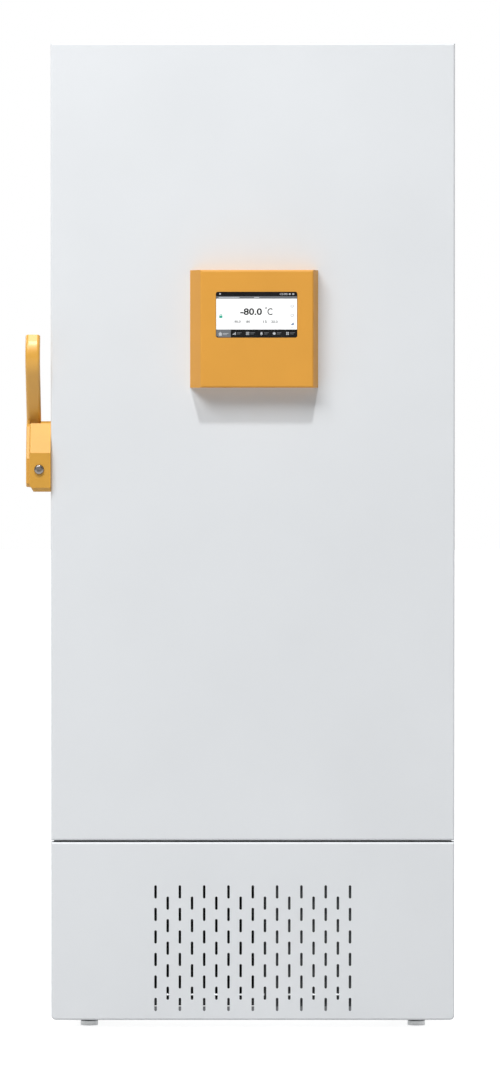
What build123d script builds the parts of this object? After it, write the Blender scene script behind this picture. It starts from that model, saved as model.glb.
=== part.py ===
"""Upright ultra low temperature freezer, in millimetres.

The origin is on the floor, under the middle of the front. +X is to the user's right, -Y is the
front and +Z is up. Each piece is written to parts/ as a STEP file of its own name.
"""

import os
from math import atan, cos, degrees, radians, sin, sqrt

from build123d import *

os.makedirs("parts", exist_ok=True)

# Front: the outer door above the lower panel
front_width = 780.0
front_y = -450.0
floor_clearance = 16.0
panel_height = 344.5
door_seam = 3.5
door_height = 1539.0
sheet = 1.5
front_side = front_width / 2
panel_top = floor_clearance + panel_height
door_bottom = panel_top + door_seam
door_middle = door_bottom + door_height / 2
cabinet_top = door_bottom + door_height

# Outer door, front to back: pan, liner, gasket, running gap
pan_depth = 75.0
pan_edge_radius = 4.0
pan_lip = 16.0
liner_depth = 20.0
liner_wall = 2.0
liner_inset = 24.0
liner_corner = 14.0
liner_edge_radius = 8.0
liner_ribs = 3
liner_rib_width = 26.0
liner_rib_height = 5.0
liner_rib_inset = 96.0
gasket_depth = 15.0
gasket_width = 24.0
gasket_inset = 12.0
gasket_base = 4.0
gasket_nose = 5.0
gasket_waist = 5.0
gasket_nose_inset = 1.0
seal_gap = 0.3
door_back = front_y + pan_depth
door_liner_back = door_back + liner_depth
cabinet_front = door_liner_back + gasket_depth
door_liner_width = front_width - 2 * liner_inset
door_liner_height = door_height - 2 * liner_inset

# Insulated cabinet
front_overhang = 18.0
cabinet_depth = 775.0
wall_thickness = 120.0
cabinet_drop = 2.0
shell_corner = 4.0
front_flange = 20.0
cabinet_width = front_width - 2 * front_overhang
cabinet_bottom = door_bottom - cabinet_drop
cabinet_height = cabinet_top - cabinet_bottom
cabinet_mid = (cabinet_top + cabinet_bottom) / 2
cabinet_back = cabinet_front + cabinet_depth
cabinet_side = cabinet_width / 2

# Chamber and its plastic breaker frame
throat_depth = 43.0
throat_wall = 3.0
lip_depth = 6.0
lip_height = 16.0
breaker_face = 6.0
mullion_height = 44.0
chamber_width = cabinet_width - 2 * wall_thickness
chamber_height = cabinet_height - 2 * wall_thickness
chamber_bottom = cabinet_bottom + wall_thickness
chamber_top = chamber_bottom + chamber_height
chamber_front = cabinet_front + throat_depth
chamber_back = cabinet_back - wall_thickness
chamber_side = chamber_width / 2
lip_front = chamber_front - lip_depth
fit_gap = 0.3

# Evaporator: a flattened tube against the liner, inside the foam
coil_tube = 8.0
coil_gap = 0.25
coil_turns = 10
coil_end_inset = 70.0
coil_front_inset = 30.0

# Access port through the back wall
port_inset = 102.0
port_drop = 130.0
port_bore = 28.0
port_collar = 2.0
plug_flange = 60.0
plug_flange_depth = 12.0
plug_length = 70.0
plug_grips = 10
plug_grip_radius = 5.0
port_x = chamber_side - port_inset
port_z = chamber_top - port_drop

# Pressed beads of the back sheet, below the port
bead_count = 4
bead_width = 18.0
bead_height = 3.0
bead_side_inset = 112.0
bead_bottom_inset = 308.0
bead_port_gap = 20.0
bead_low = cabinet_bottom + bead_bottom_inset
bead_high = port_z - (plug_flange + bead_width) / 2 - bead_port_gap

# Shelves on clips and pilasters
shelf_count = 3
shelf_fold = 18.0
shelf_side_gap = 3.5
shelf_end_gap = 12.0
shelf_slot_length = 50.0
shelf_slot_width = 9.0
shelf_slot_pitch = (80.0, 110.0)
shelf_slot_grid = (5, 4)
pilaster_width = 20.0
pilaster_depth = 5.0
pilaster_end_gap = 18.0
pilaster_inset = 60.0
pilaster_slots = 18
pilaster_slot = (4.0, 16.0)
clip_size = 14.0
shelf_pitch = chamber_height / (shelf_count + 1)

# Inner doors
inner_thickness = 26.0
inner_gasket = 7.0
inner_edge_gap = 3.0
inner_edge_radius = 6.0
inner_bracket = 3.0
inner_bracket_width = 28.0
inner_end_gap = 0.5
inner_pin_radius = 3.0
inner_pin_length = 12.0
inner_field_side = 65.0
inner_field_end = 45.0
inner_field_corner = 20.0
inner_field_depth = 2.0
pull_depth = 12.0
pull_length = 130.0
pull_width = 30.0
pull_inset = 34.0
bulb_width = 8.0
bulb_foot = 3.0
running_gap = 0.05
inner_front = lip_front - inner_gasket - inner_thickness
inner_side = chamber_side - inner_edge_gap
inner_pin_x = inner_side - inner_edge_radius + 1.0
inner_pin_y = inner_front + inner_edge_radius

# Outer door hinges, on the right
hinge_side_inset = 8.0
hinge_reach = 18.0
hinge_pin_radius = 4.0
hinge_pin_head = 4.0
knuckle_radius = 8.0
knuckle_gap = 0.5
hinge_leaf = 4.0
hinge_leaf_depth = 52.0
hinge_door_leaf = 22.0
hinge_door_inset = 1.0
hinge_height = 100.0
hinge_knuckles = 5
hinge_end_inset = 150.0
hinge_x = front_side - hinge_side_inset
hinge_y = cabinet_front - hinge_reach

# Lower panel door, its hinge pins and its air filter
panel_depth = 40.0
panel_corner = 9.0
panel_hinge_inset = 9.0
panel_hinge_reach = 8.0
panel_hinge_end = 60.0
panel_pin_radius = 3.0
panel_knuckle = 6.0
panel_hinge_length = 30.0
panel_strap = 4.0
panel_strap_depth = 16.0
pin_bracket = 3.0
pin_bracket_width = 10.0
pin_bracket_depth = 30.0
pin_bracket_height = 24.0
slot_length = 25.8
slot_width = 4.9
slot_columns = 17
slot_pitch = 23.5
slot_rows = 6
slot_row_pitch = 43.6
slot_top_drop = 96.2
filter_side_inset = 32.0
filter_right = 36.0
filter_rise = 28.0
filter_drop = 15.5
filter_frame = 14.0
filter_depth = 18.0
filter_pad = 6.0
panel_hinge_x = front_side - panel_hinge_inset
panel_hinge_y = front_y + panel_depth + panel_hinge_reach
panel_hinge_zs = (floor_clearance + panel_hinge_end, panel_top - panel_hinge_end)
filter_left = filter_side_inset - cabinet_side
filter_bottom = floor_clearance + filter_rise
filter_top = panel_top - filter_drop

# Display housing and touch screen
housing_rise = 218.5
housing_height = 226.5
housing_depth = 40.0
housing_back_left = -121.0
housing_back_right = 126.0
housing_front_left = -100.0
housing_front_right = 116.5
housing_wall = 2.5
housing_edge = 4.0
screen_width = 156.0
screen_height = 87.5
screen_x = 7.3
screen_drop = 86.2
screen_corner = 4.0
screen_glass = 2.9
screen_rim = 6.0
screen_body = 8.0
housing_bottom = door_middle + housing_rise - housing_height / 2
screen_z = housing_bottom + housing_height - screen_drop

# Latch lever on the left edge of the door
lever_reach = 48.0
lever_width = 28.0
lever_cheek = 6.3
lever_cheek_edge = 3.0
lever_grip_depth = 20.0
lever_grip_round = 6.0
lever_boss_radius = 12.0
lever_pin_radius = 6.0
lever_pin_inset = 0.5
lever_pin_wall = 4.0
lever_drop = 75.5
lever_pivot_inset = 14.0
grip_bend_radius = 40.0
grip_crest_radius = 48.0
lever_left = -front_side - lever_reach
lever_right = lever_left + lever_width
lever_pivot_y = front_y + lever_pivot_inset
lever_pivot_z = door_middle - lever_drop
grip_foot = (lever_pivot_y + 36.0, lever_pivot_z + 62.0)
grip_bend = (lever_pivot_y + 36.0, lever_pivot_z + 114.0)
grip_crest = (lever_pivot_y - 48.0, lever_pivot_z + 238.0)
grip_tip = (lever_pivot_y - 21.0, lever_pivot_z + 277.5)

# Fixed hood that carries the lever
hood_side_gap = 0.3
hood_block_gap = 0.6
hood_drop = 20.0
hood_lead = 12.0
hood_chamfer = (10.0, 8.0)
hood_face = 75.0
hood_height = 132.0
hood_slope = 25.0
hood_depth = 81.0
hood_wall = 5.0
hood_edge = 3.5
hood_corner = (8.0, 15.0)
hood_block_rise = 4.0
screw_inset = 22.2
screw_rise = 43.0
screw_head_radius = 9.5
screw_head_height = 5.5
screw_socket = 6.0
screw_socket_floor = 1.5
screw_shank_radius = 5.0
screw_shank_length = 15.0
screw_boss_radius = 9.0
hood_left = lever_left + lever_cheek + hood_side_gap
hood_block_left = lever_right + hood_block_gap
hood_front = front_y - hood_lead
hood_back = hood_front + hood_depth
hood_bottom = lever_pivot_z - hood_drop
hood_top = hood_bottom + hood_height
screw_x = -front_side - screw_inset
screw_z = hood_bottom + screw_rise

# Striker stud on the cabinet side, and the hook that drops over it
striker_inset = 18.0
striker_rise = 17.0
striker_plate = 4.0
striker_length = 90.0
striker_width = 60.0
striker_corner = 8.0
striker_boss_radius = 13.0
striker_boss_height = 34.0
stud_radius = 5.0
stud_reach = 48.0
hook_thickness = 10.0
hook_gap = 0.5
hook_height = 22.0
hook_nose = 12.0
hook_tooth = 10.0
striker_y = cabinet_front + striker_inset
striker_z = lever_pivot_z + striker_rise
stud_end = -front_side - stud_reach

# Casters
caster_inset = 75.0
caster_front_inset = 108.0
caster_back_inset = 83.0
wheel_radius = 37.5
wheel_width = 24.0
wheel_web = 10.0
wheel_hub_radius = 12.0
tyre_depth = 9.0
axle_radius = 5.0
axle_end = 2.0
caster_trail = 28.0
caster_plate = 3.5
caster_plate_size = 80.0
caster_plate_corner = 6.0
caster_head = 23.0
kingpin_radius = 6.0
kingpin_end = 2.5
crown_height = 10.0
crown_radius = 22.0
fork_sheet = 3.0
fork_eye_radius = 11.0
fork_root = 16.0
caster_x = cabinet_side - caster_inset
pan_z = 2 * wheel_radius + caster_head

# Machine compartment below the insulated cabinet
cover_front_gap = 5.0
cover_sheet = 2.0
cover_back_inset = 2.0
louvre_count = 8
louvre_length = 240.0
louvre_height = 6.0
louvre_pitch = 22.0
louvre_back_inset = 70.0
rear_cover = 1.5
rear_slot_height = 7.0
rear_slot_pitch = 20.0
rear_slot_rows = 10
rear_slot_columns = 4
rear_slot_bridge = 22.0
rear_slot_rise = 20.0
rear_slot_inset = 85.0
rail_front_gap = 7.0
rail_width = 30.0
rail_height = 30.0
post_depth = 40.0
cover_front = front_y + panel_depth + cover_front_gap
cover_back = cabinet_back - cover_back_inset
cover_inner = cabinet_side - cover_sheet
frame_side = cover_inner - fit_gap
rail_front = cover_front + rail_front_gap
rail_back = cabinet_back - rail_front_gap
rail_z = pan_z + sheet
rail_top = rail_z + rail_height
caster_front_y = rail_front + caster_front_inset
caster_back_y = rail_back - caster_back_inset

# Condenser and its fan
condenser_inset = 42.0
condenser_right = 18.0
condenser_rise = 8.0
condenser_height = 200.0
condenser_depth = 22.0
condenser_tubes = 14
condenser_tube = 2.0
condenser_end = 12.0
condenser_port = 6.0
condenser_port_wall = 1.5
header_radius = 9.0
fan_radius = 92.0
fan_tip_gap = 4.0
fan_blade_count = 5
blade_chord = 58.0
blade_root_chord = 26.0
blade_root_pitch = 42.0
blade_tip_pitch = 22.0
blade_thickness = 2.5
hub_radius = 24.0
hub_depth = 24.0
hub_sink = 3.0
shroud_depth = 30.0
shroud_sheet = 2.0
shroud_foot = 24.0
motor_radius = 34.0
motor_length = 58.0
motor_gap = 6.0
motor_arm = 10.0
motor_shaft = 3.0
condenser_left = condenser_inset - cabinet_side
condenser_bottom = pan_z + condenser_rise
condenser_top = condenser_bottom + condenser_height
condenser_front = rail_front + rail_width + 2.0
condenser_middle = condenser_front + condenser_depth / 2
shroud_front = condenser_front + condenser_depth + 1.0
fan_x = (condenser_left + condenser_right) / 2
fan_z = condenser_bottom + condenser_height / 2

# Compressors and heat exchanger, spread evenly across the base
compressor_radius = 84.0
compressor_height = 190.0
compressor_dome = 62.0
compressor_shoulder = 40.0
compressor_base_radius = 34.0
compressor_foot = 8.0
compressor_y = 60.0
terminal_width = 58.0
terminal_height = 66.0
terminal_depth = 28.0
terminal_z = 84.0
mount_height = 12.0
mount_radius = 11.0
mount_spread = 46.0
exchanger_y = 120.0
exchanger_width = 96.0
exchanger_depth = 130.0
exchanger_height = 200.0
exchanger_corner = 16.0
tube_radius = 4.0
line_bend = 16.0
line_drop = 26.0
line_back_inset = 60.0
mount_top = rail_z + mount_height
compressor_side = compressor_radius + compressor_foot
machine_gap = (2 * frame_side - 4 * compressor_side - exchanger_width) / 4
first_x = machine_gap + compressor_side - frame_side
second_x = first_x + 2 * compressor_side + machine_gap
exchanger_x = second_x + compressor_side + machine_gap + exchanger_width / 2

# Control box with the power switch, and the power inlet
control_gap = 26.0
control_inset = 34.0
control_rise = 2.5
control_drop = 15.5
control_depth = 150.0
control_corner = 3.0
lid_line = (3.0, 1.5, 1.0)
rocker_width = 22.0
rocker_height = 30.0
rocker_gap = 0.4
rocker_inset = 48.0
rocker_drop = 45.0
rocker_axis_depth = 4.0
rocker_pin_radius = 2.0
rocker_pin_length = 2.0
rocker_tilt = 8.0
rocker_pocket = 16.0
inlet_width = 48.0
inlet_height = 30.0
inlet_inset = 122.0
inlet_drop = 112.0
inlet_flange = 6.0
inlet_flange_depth = 3.0
inlet_body = 34.0
inlet_wall = 3.5
inlet_well = 22.0
inlet_blade = (2.0, 8.0, 15.0)
inlet_blade_pitch = 12.0
control_left = condenser_right + control_gap
control_right = cabinet_side - control_inset
control_bottom = rail_top + control_rise
control_top = panel_top - control_drop
control_front = rail_front + 3.0
rocker_x = control_right - rocker_inset
rocker_y = control_front + rocker_axis_depth
rocker_z = control_top - rocker_drop
inlet_x = inlet_inset - cabinet_side
inlet_z = cabinet_bottom - inlet_drop

# Levelling feet
foot_inset = 54.0
foot_rail_inset = 20.0
foot_radius = 17.0
foot_pad = 12.0
foot_stem_radius = 6.0
foot_nut_radius = 11.0
foot_nut_height = 10.0
foot_travel = 12.0
foot_x = cabinet_side - foot_inset
foot_y = rail_front + foot_rail_inset


def from_front(y):
    """The vertical plane at y that faces the user: local X and Y are +X and +Z."""
    return Plane.XZ.offset(-y)


def from_side(x):
    """The vertical plane at x that faces right: local X and Y are +Y and +Z."""
    return Plane.YZ.offset(x)


def level(z):
    """The horizontal plane at height z."""
    return Plane.XY.offset(z)


# Outer steel wrap of the cabinet, folded in round the front
with BuildPart() as cabinet_shell:
    with BuildSketch(from_front(cabinet_front)):
        with Locations((0, cabinet_mid)):
            RectangleRounded(cabinet_width, cabinet_height, shell_corner)
            RectangleRounded(
                cabinet_width - 2 * sheet,
                cabinet_height - 2 * sheet,
                shell_corner - sheet,
                mode=Mode.SUBTRACT,
            )
    extrude(amount=-cabinet_depth)
    with BuildSketch(from_front(cabinet_front)):
        with Locations((0, cabinet_mid)):
            RectangleRounded(cabinet_width, cabinet_height, shell_corner)
            Rectangle(
                cabinet_width - 2 * front_flange,
                cabinet_height - 2 * front_flange,
                mode=Mode.SUBTRACT,
            )
    extrude(amount=-sheet)

# Back sheet with pressed beads and the port hole
bead_length = cabinet_width - 2 * bead_side_inset
bead_pitch = (bead_high - bead_low) / (bead_count - 1)
with BuildPart() as rear_panel:
    with BuildSketch(from_front(cabinet_back - sheet)):
        with Locations((0, cabinet_mid)):
            RectangleRounded(
                cabinet_width - 2 * sheet - fit_gap,
                cabinet_height - 2 * sheet - fit_gap,
                shell_corner,
            )
        with Locations((port_x, port_z)):
            Circle(port_bore / 2 + port_collar + fit_gap, mode=Mode.SUBTRACT)
    extrude(amount=-sheet)
    with BuildSketch(from_front(cabinet_back)):
        with Locations((0, (bead_low + bead_high) / 2)):
            with GridLocations(0, bead_pitch, 1, bead_count):
                SlotOverall(bead_length, bead_width)
    extrude(amount=-bead_height, taper=30)

# Foam between the wrap and the chamber
foam_front = cabinet_front + breaker_face
foam_back = cabinet_back - sheet
coil_room = sheet + coil_tube + 2 * coil_gap
with BuildPart() as cabinet_foam:
    with BuildSketch(from_front(foam_front)):
        with Locations((0, cabinet_mid)):
            RectangleRounded(
                cabinet_width - 2 * sheet, cabinet_height - 2 * sheet, shell_corner
            )
    extrude(amount=-(foam_back - foam_front))
    with BuildSketch(from_front(foam_front)):
        with Locations((0, cabinet_mid)):
            Rectangle(chamber_width + 2 * coil_room, chamber_height + 2 * coil_room)
    extrude(amount=-(chamber_back + coil_room - foam_front), mode=Mode.SUBTRACT)
    with BuildSketch(from_front(foam_back)):
        with Locations((port_x, port_z)):
            Circle(port_bore / 2 + port_collar + fit_gap)
    extrude(amount=wall_thickness, mode=Mode.SUBTRACT)

# Stainless chamber, with a collar for the port
with BuildPart() as chamber_liner:
    with BuildSketch(from_front(chamber_front)):
        with Locations((0, cabinet_mid)):
            Rectangle(chamber_width + 2 * sheet, chamber_height + 2 * sheet)
    extrude(amount=-(chamber_back + sheet - chamber_front))
    with BuildSketch(from_front(chamber_front)):
        with Locations((0, cabinet_mid)):
            Rectangle(chamber_width, chamber_height)
    extrude(amount=-(chamber_back - chamber_front), mode=Mode.SUBTRACT)
    with BuildSketch(from_front(chamber_back)):
        with Locations((port_x, port_z)):
            Circle(port_bore / 2 + port_collar)
    extrude(amount=-(cabinet_back - chamber_back))
    with BuildSketch(from_front(cabinet_back)):
        with Locations((port_x, port_z)):
            Circle(port_bore / 2)
    extrude(amount=wall_thickness, mode=Mode.SUBTRACT)

# Plastic frame of the opening: face, throat, sealing lip and mullion
face_width = cabinet_width - 2 * front_flange - fit_gap
face_height = cabinet_height - 2 * front_flange - fit_gap
with BuildPart() as breaker_frame:
    with BuildSketch(from_front(cabinet_front)):
        with Locations((0, cabinet_mid)):
            Rectangle(face_width, face_height)
            Rectangle(chamber_width, chamber_height, mode=Mode.SUBTRACT)
    extrude(amount=-breaker_face)
    with BuildSketch(from_front(cabinet_front)):
        with Locations((0, cabinet_mid)):
            Rectangle(chamber_width + 2 * throat_wall, chamber_height + 2 * throat_wall)
            Rectangle(chamber_width, chamber_height, mode=Mode.SUBTRACT)
    extrude(amount=-throat_depth)
    with BuildSketch(from_front(lip_front)):
        with Locations((0, cabinet_mid)):
            Rectangle(chamber_width + 2 * throat_wall, chamber_height + 2 * throat_wall)
            Rectangle(
                chamber_width - 2 * lip_height, chamber_height - 2 * lip_height, mode=Mode.SUBTRACT
            )
            Rectangle(chamber_width, mullion_height)
    extrude(amount=-lip_depth)

# Evaporator: U-shaped turns round the liner, joined at the front, left and right in turn
coil_inner = chamber_side + sheet + coil_gap
coil_outer = coil_inner + coil_tube
coil_front = chamber_front + coil_front_inset
coil_back = chamber_back + sheet + coil_gap
coil_pitch = (chamber_height - 2 * coil_end_inset - coil_tube) / (coil_turns - 1)
coil_levels = [chamber_bottom + coil_end_inset + coil_pitch * i for i in range(coil_turns)]
with BuildPart() as evaporator_coil:
    for z in coil_levels:
        with BuildSketch(level(z)):
            with Locations((0, (coil_front + coil_back + coil_tube) / 2)):
                Rectangle(2 * coil_outer, coil_back + coil_tube - coil_front)
            with Locations((0, (coil_front + coil_back) / 2)):
                Rectangle(2 * coil_inner, coil_back - coil_front, mode=Mode.SUBTRACT)
        extrude(amount=coil_tube)
    for i, z in enumerate(coil_levels[:-1]):
        side = 1 if i % 2 else -1
        with BuildSketch(level(z)):
            with Locations((side * (coil_inner + coil_tube / 2), coil_front + coil_tube / 2)):
                Rectangle(coil_tube, coil_tube)
        extrude(amount=coil_pitch)

# Slotted pilasters up the chamber's sides, with the clips that hold the shelves
pilaster_ys = (chamber_front + pilaster_inset, chamber_back - pilaster_inset)
shelf_tops = [chamber_bottom + shelf_pitch * (i + 1) for i in range(shelf_count)]
pilaster_height = chamber_height - 2 * pilaster_end_gap
with BuildPart() as shelf_pilasters:
    for side in (-1, 1):
        face = side * (chamber_side - pilaster_depth)
        for y in pilaster_ys:
            with BuildSketch(from_side(face)):
                with Locations((y, cabinet_mid)):
                    Rectangle(pilaster_width, pilaster_height)
                    with GridLocations(0, pilaster_height / pilaster_slots, 1, pilaster_slots):
                        Rectangle(*pilaster_slot, mode=Mode.SUBTRACT)
            extrude(amount=side * pilaster_depth)
            for z in shelf_tops:
                with BuildSketch(from_side(face)):
                    with Locations((y, z - shelf_fold - clip_size / 2)):
                        Trapezoid(pilaster_width, clip_size, 70, rotation=180)
                extrude(amount=-side * clip_size)

# Three shelves with folded edges and vent slots
shelf_width = chamber_width - 2 * pilaster_depth - 2 * shelf_side_gap
shelf_front = chamber_front + shelf_end_gap
shelf_depth = chamber_back - shelf_end_gap - shelf_front
shelf_middle = shelf_front + shelf_depth / 2
with BuildPart() as shelves:
    for z in shelf_tops:
        with BuildSketch(level(z)):
            with Locations((0, shelf_middle)):
                Rectangle(shelf_width, shelf_depth)
                with GridLocations(*shelf_slot_pitch, *shelf_slot_grid):
                    SlotOverall(shelf_slot_length, shelf_slot_width, mode=Mode.SUBTRACT)
        extrude(amount=-sheet)
        with BuildSketch(level(z - sheet)):
            with Locations((0, shelf_middle)):
                Rectangle(shelf_width, shelf_depth)
                Rectangle(shelf_width - 2 * sheet, shelf_depth - 2 * sheet, mode=Mode.SUBTRACT)
        extrude(amount=-(shelf_fold - sheet))

# Outer door: a folded steel pan with a lip round its back
with BuildPart() as door_skin:
    with BuildSketch(from_front(door_back)):
        with Locations((0, door_middle)):
            Rectangle(front_width, door_height)
    extrude(amount=pan_depth)
    fillet(door_skin.faces().sort_by(Axis.Y)[0].edges(), pan_edge_radius)
    offset(amount=-sheet, openings=door_skin.faces().sort_by(Axis.Y)[-1])
    with BuildSketch(from_front(door_back)):
        with Locations((0, door_middle)):
            Rectangle(front_width, door_height)
            Rectangle(front_width - 2 * pan_lip, door_height - 2 * pan_lip, mode=Mode.SUBTRACT)
    extrude(amount=sheet)

# Moulded inner face of the door, with its pressed ribs
with BuildPart() as door_liner:
    with BuildSketch(from_front(door_back)):
        with Locations((0, door_middle)):
            RectangleRounded(door_liner_width, door_liner_height, liner_corner)
    extrude(amount=-liner_depth)
    fillet(door_liner.faces().sort_by(Axis.Y)[-1].edges(), liner_edge_radius)
    offset(amount=-liner_wall, openings=door_liner.faces().sort_by(Axis.Y)[0])
    with BuildSketch(from_front(door_liner_back)):
        with Locations((0, door_middle)):
            with GridLocations(0, door_height / (liner_ribs + 1), 1, liner_ribs):
                SlotOverall(door_liner_width - 2 * liner_rib_inset, liner_rib_width)
    extrude(amount=-liner_rib_height, taper=30)

# Door foam
with BuildPart() as door_foam:
    with BuildSketch(from_front(door_back - sheet)):
        with Locations((0, door_middle)):
            Rectangle(front_width - 2 * sheet, door_height - 2 * sheet)
    extrude(amount=pan_depth - 2 * sheet)
    fillet(door_foam.faces().sort_by(Axis.Y)[0].edges(), pan_edge_radius)
    with BuildSketch(from_front(door_back - sheet)):
        with Locations((0, door_middle)):
            RectangleRounded(
                door_liner_width - 2 * liner_edge_radius - 2 * liner_wall,
                door_liner_height - 2 * liner_edge_radius - 2 * liner_wall,
                liner_edge_radius,
            )
    extrude(amount=-(liner_depth + sheet - liner_wall))

# Magnetic gasket: a base strip, a narrower bellows and a flat nose
gasket_steps = (
    (gasket_width, gasket_base),
    (gasket_width - 2 * gasket_waist, gasket_depth - gasket_base - gasket_nose),
    (gasket_width - 2 * gasket_nose_inset, gasket_nose - seal_gap),
)
gasket_mid_width = door_liner_width - 2 * gasket_inset - gasket_width
gasket_mid_height = door_liner_height - 2 * gasket_inset - gasket_width
with BuildPart() as door_gasket:
    step_y = door_liner_back
    for step_width, step_depth in gasket_steps:
        with BuildSketch(from_front(step_y)):
            with Locations((0, door_middle)):
                Rectangle(gasket_mid_width + step_width, gasket_mid_height + step_width)
                Rectangle(
                    gasket_mid_width - step_width,
                    gasket_mid_height - step_width,
                    mode=Mode.SUBTRACT,
                )
        extrude(amount=-step_depth)
        step_y += step_depth

# Three hinges: knuckles alternate between the cabinet's leaf and the door's
hinge_zs = [
    door_bottom + hinge_end_inset,
    door_middle,
    cabinet_top - hinge_end_inset,
]
knuckle_length = hinge_height / hinge_knuckles
with BuildPart() as hinge_cabinet_leaves:
    for z in hinge_zs:
        with BuildSketch(level(z - hinge_height / 2)):
            with Locations((cabinet_side + hinge_leaf / 2, cabinet_front + hinge_leaf_depth / 2)):
                Rectangle(hinge_leaf, hinge_leaf_depth)
        extrude(amount=hinge_height)
        for k in range(0, hinge_knuckles, 2):
            with BuildSketch(level(z - hinge_height / 2 + k * knuckle_length)):
                Polygon(
                    (cabinet_side, cabinet_front),
                    (cabinet_side, cabinet_front - hinge_leaf),
                    (hinge_x - knuckle_radius / 2, hinge_y),
                    (hinge_x + knuckle_radius / 2, hinge_y),
                    (cabinet_side + hinge_leaf, cabinet_front),
                    align=None,
                )
                with Locations((hinge_x, hinge_y)):
                    Circle(knuckle_radius)
                    Circle(hinge_pin_radius + running_gap, mode=Mode.SUBTRACT)
            extrude(amount=knuckle_length)
    with BuildSketch(level(hinge_zs[0] - hinge_height)):
        with Locations((hinge_x, hinge_y)):
            Circle(hinge_pin_radius + running_gap)
    extrude(amount=cabinet_height, mode=Mode.SUBTRACT)

with BuildPart() as hinge_door_leaves:
    for z in hinge_zs:
        with BuildSketch(level(z - hinge_height / 2)):
            with Locations(
                (front_side - hinge_door_inset - hinge_door_leaf / 2, door_back + hinge_leaf / 2)
            ):
                Rectangle(hinge_door_leaf, hinge_leaf)
        extrude(amount=hinge_height)
        for k in range(1, hinge_knuckles, 2):
            with BuildSketch(level(z - hinge_height / 2 + k * knuckle_length + knuckle_gap)):
                with Locations((hinge_x, (hinge_y + door_back) / 2)):
                    Rectangle(knuckle_radius, hinge_y - door_back)
                with Locations((hinge_x, hinge_y)):
                    Circle(knuckle_radius)
                    Circle(hinge_pin_radius + running_gap, mode=Mode.SUBTRACT)
            extrude(amount=knuckle_length - 2 * knuckle_gap)

with BuildPart() as hinge_pins:
    for z in hinge_zs:
        with BuildSketch(level(z - hinge_height / 2 - hinge_pin_head / 2)):
            with Locations((hinge_x, hinge_y)):
                Circle(hinge_pin_radius)
        extrude(amount=hinge_height + hinge_pin_head / 2)
        with BuildSketch(level(z + hinge_height / 2)):
            with Locations((hinge_x, hinge_y)):
                Circle(hinge_pin_radius + hinge_pin_head / 2)
        extrude(amount=hinge_pin_head)

# Inner doors: pressed panels that turn on pins at their right edge
inner_spans = {
    "lower": (chamber_bottom + inner_bracket, cabinet_mid - inner_bracket / 2),
    "upper": (cabinet_mid + inner_bracket / 2, chamber_top - inner_bracket),
}
for place, (low, high) in inner_spans.items():
    bottom = low + inner_end_gap
    height = high - low - 2 * inner_end_gap
    middle = bottom + height / 2
    with BuildPart() as inner_door:
        with BuildSketch(from_front(inner_front + inner_thickness)):
            with Locations((0, middle)):
                Rectangle(2 * inner_side, height)
        extrude(amount=inner_thickness)
        fillet(inner_door.faces().sort_by(Axis.Y)[0].edges().filter_by(Axis.Z), inner_edge_radius)
        with BuildSketch(from_front(inner_front)):
            with Locations((0, middle)):
                RectangleRounded(
                    2 * (inner_side - inner_field_side),
                    height - 2 * inner_field_end,
                    inner_field_corner,
                )
        extrude(amount=-inner_field_depth, taper=20, mode=Mode.SUBTRACT)
        with BuildSketch(from_front(inner_front)):
            with Locations((pull_inset - inner_side, middle)):
                SlotOverall(pull_length, pull_width, rotation=90)
        extrude(amount=-pull_depth, taper=8, mode=Mode.SUBTRACT)
        with BuildSketch(level(bottom)):
            with Locations((inner_pin_x, inner_pin_y)):
                Circle(inner_pin_radius + running_gap)
        extrude(amount=inner_pin_length + 1, mode=Mode.SUBTRACT)
        with BuildSketch(level(bottom + height)):
            with Locations((inner_pin_x, inner_pin_y)):
                Circle(inner_pin_radius + running_gap)
        extrude(amount=-inner_pin_length - 1, mode=Mode.SUBTRACT)
    inner_door.part.label = f"inner_door_{place}"
    export_step(inner_door.part, f"parts/inner_door_{place}.step")

    # Bulb gasket on the back of the inner door, in line with the sealing lip
    bulb_line_width = 2 * inner_pin_x - bulb_width
    bulb_line_height = height - 3 * bulb_width
    with BuildPart() as inner_door_gasket:
        for rim, deep in (
            (bulb_width, bulb_foot),
            (0.75 * bulb_width, inner_gasket - seal_gap),
        ):
            with BuildSketch(from_front(inner_front + inner_thickness)):
                with Locations((0, middle)):
                    Rectangle(bulb_line_width + rim, bulb_line_height + rim)
                    Rectangle(bulb_line_width - rim, bulb_line_height - rim, mode=Mode.SUBTRACT)
            extrude(amount=-deep)
    inner_door_gasket.part.label = f"inner_door_gasket_{place}"
    export_step(inner_door_gasket.part, f"parts/inner_door_gasket_{place}.step")

# Brackets with the pins of the inner doors
bracket_depth = lip_front - inner_front
with BuildPart() as inner_hinge_brackets:
    for low, ends in (
        (chamber_bottom, (1,)),
        (cabinet_mid - inner_bracket / 2, (-1, 1)),
        (chamber_top - inner_bracket, (-1,)),
    ):
        with BuildSketch(level(low)):
            with Locations(
                (chamber_side - inner_bracket_width / 2, inner_front + bracket_depth / 2)
            ):
                Rectangle(inner_bracket_width, bracket_depth)
        extrude(amount=inner_bracket)
        for end in ends:
            start = low + inner_bracket if end > 0 else low
            with BuildSketch(level(start)):
                with Locations((inner_pin_x, inner_pin_y)):
                    Circle(inner_pin_radius)
            extrude(amount=end * inner_pin_length)

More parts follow.
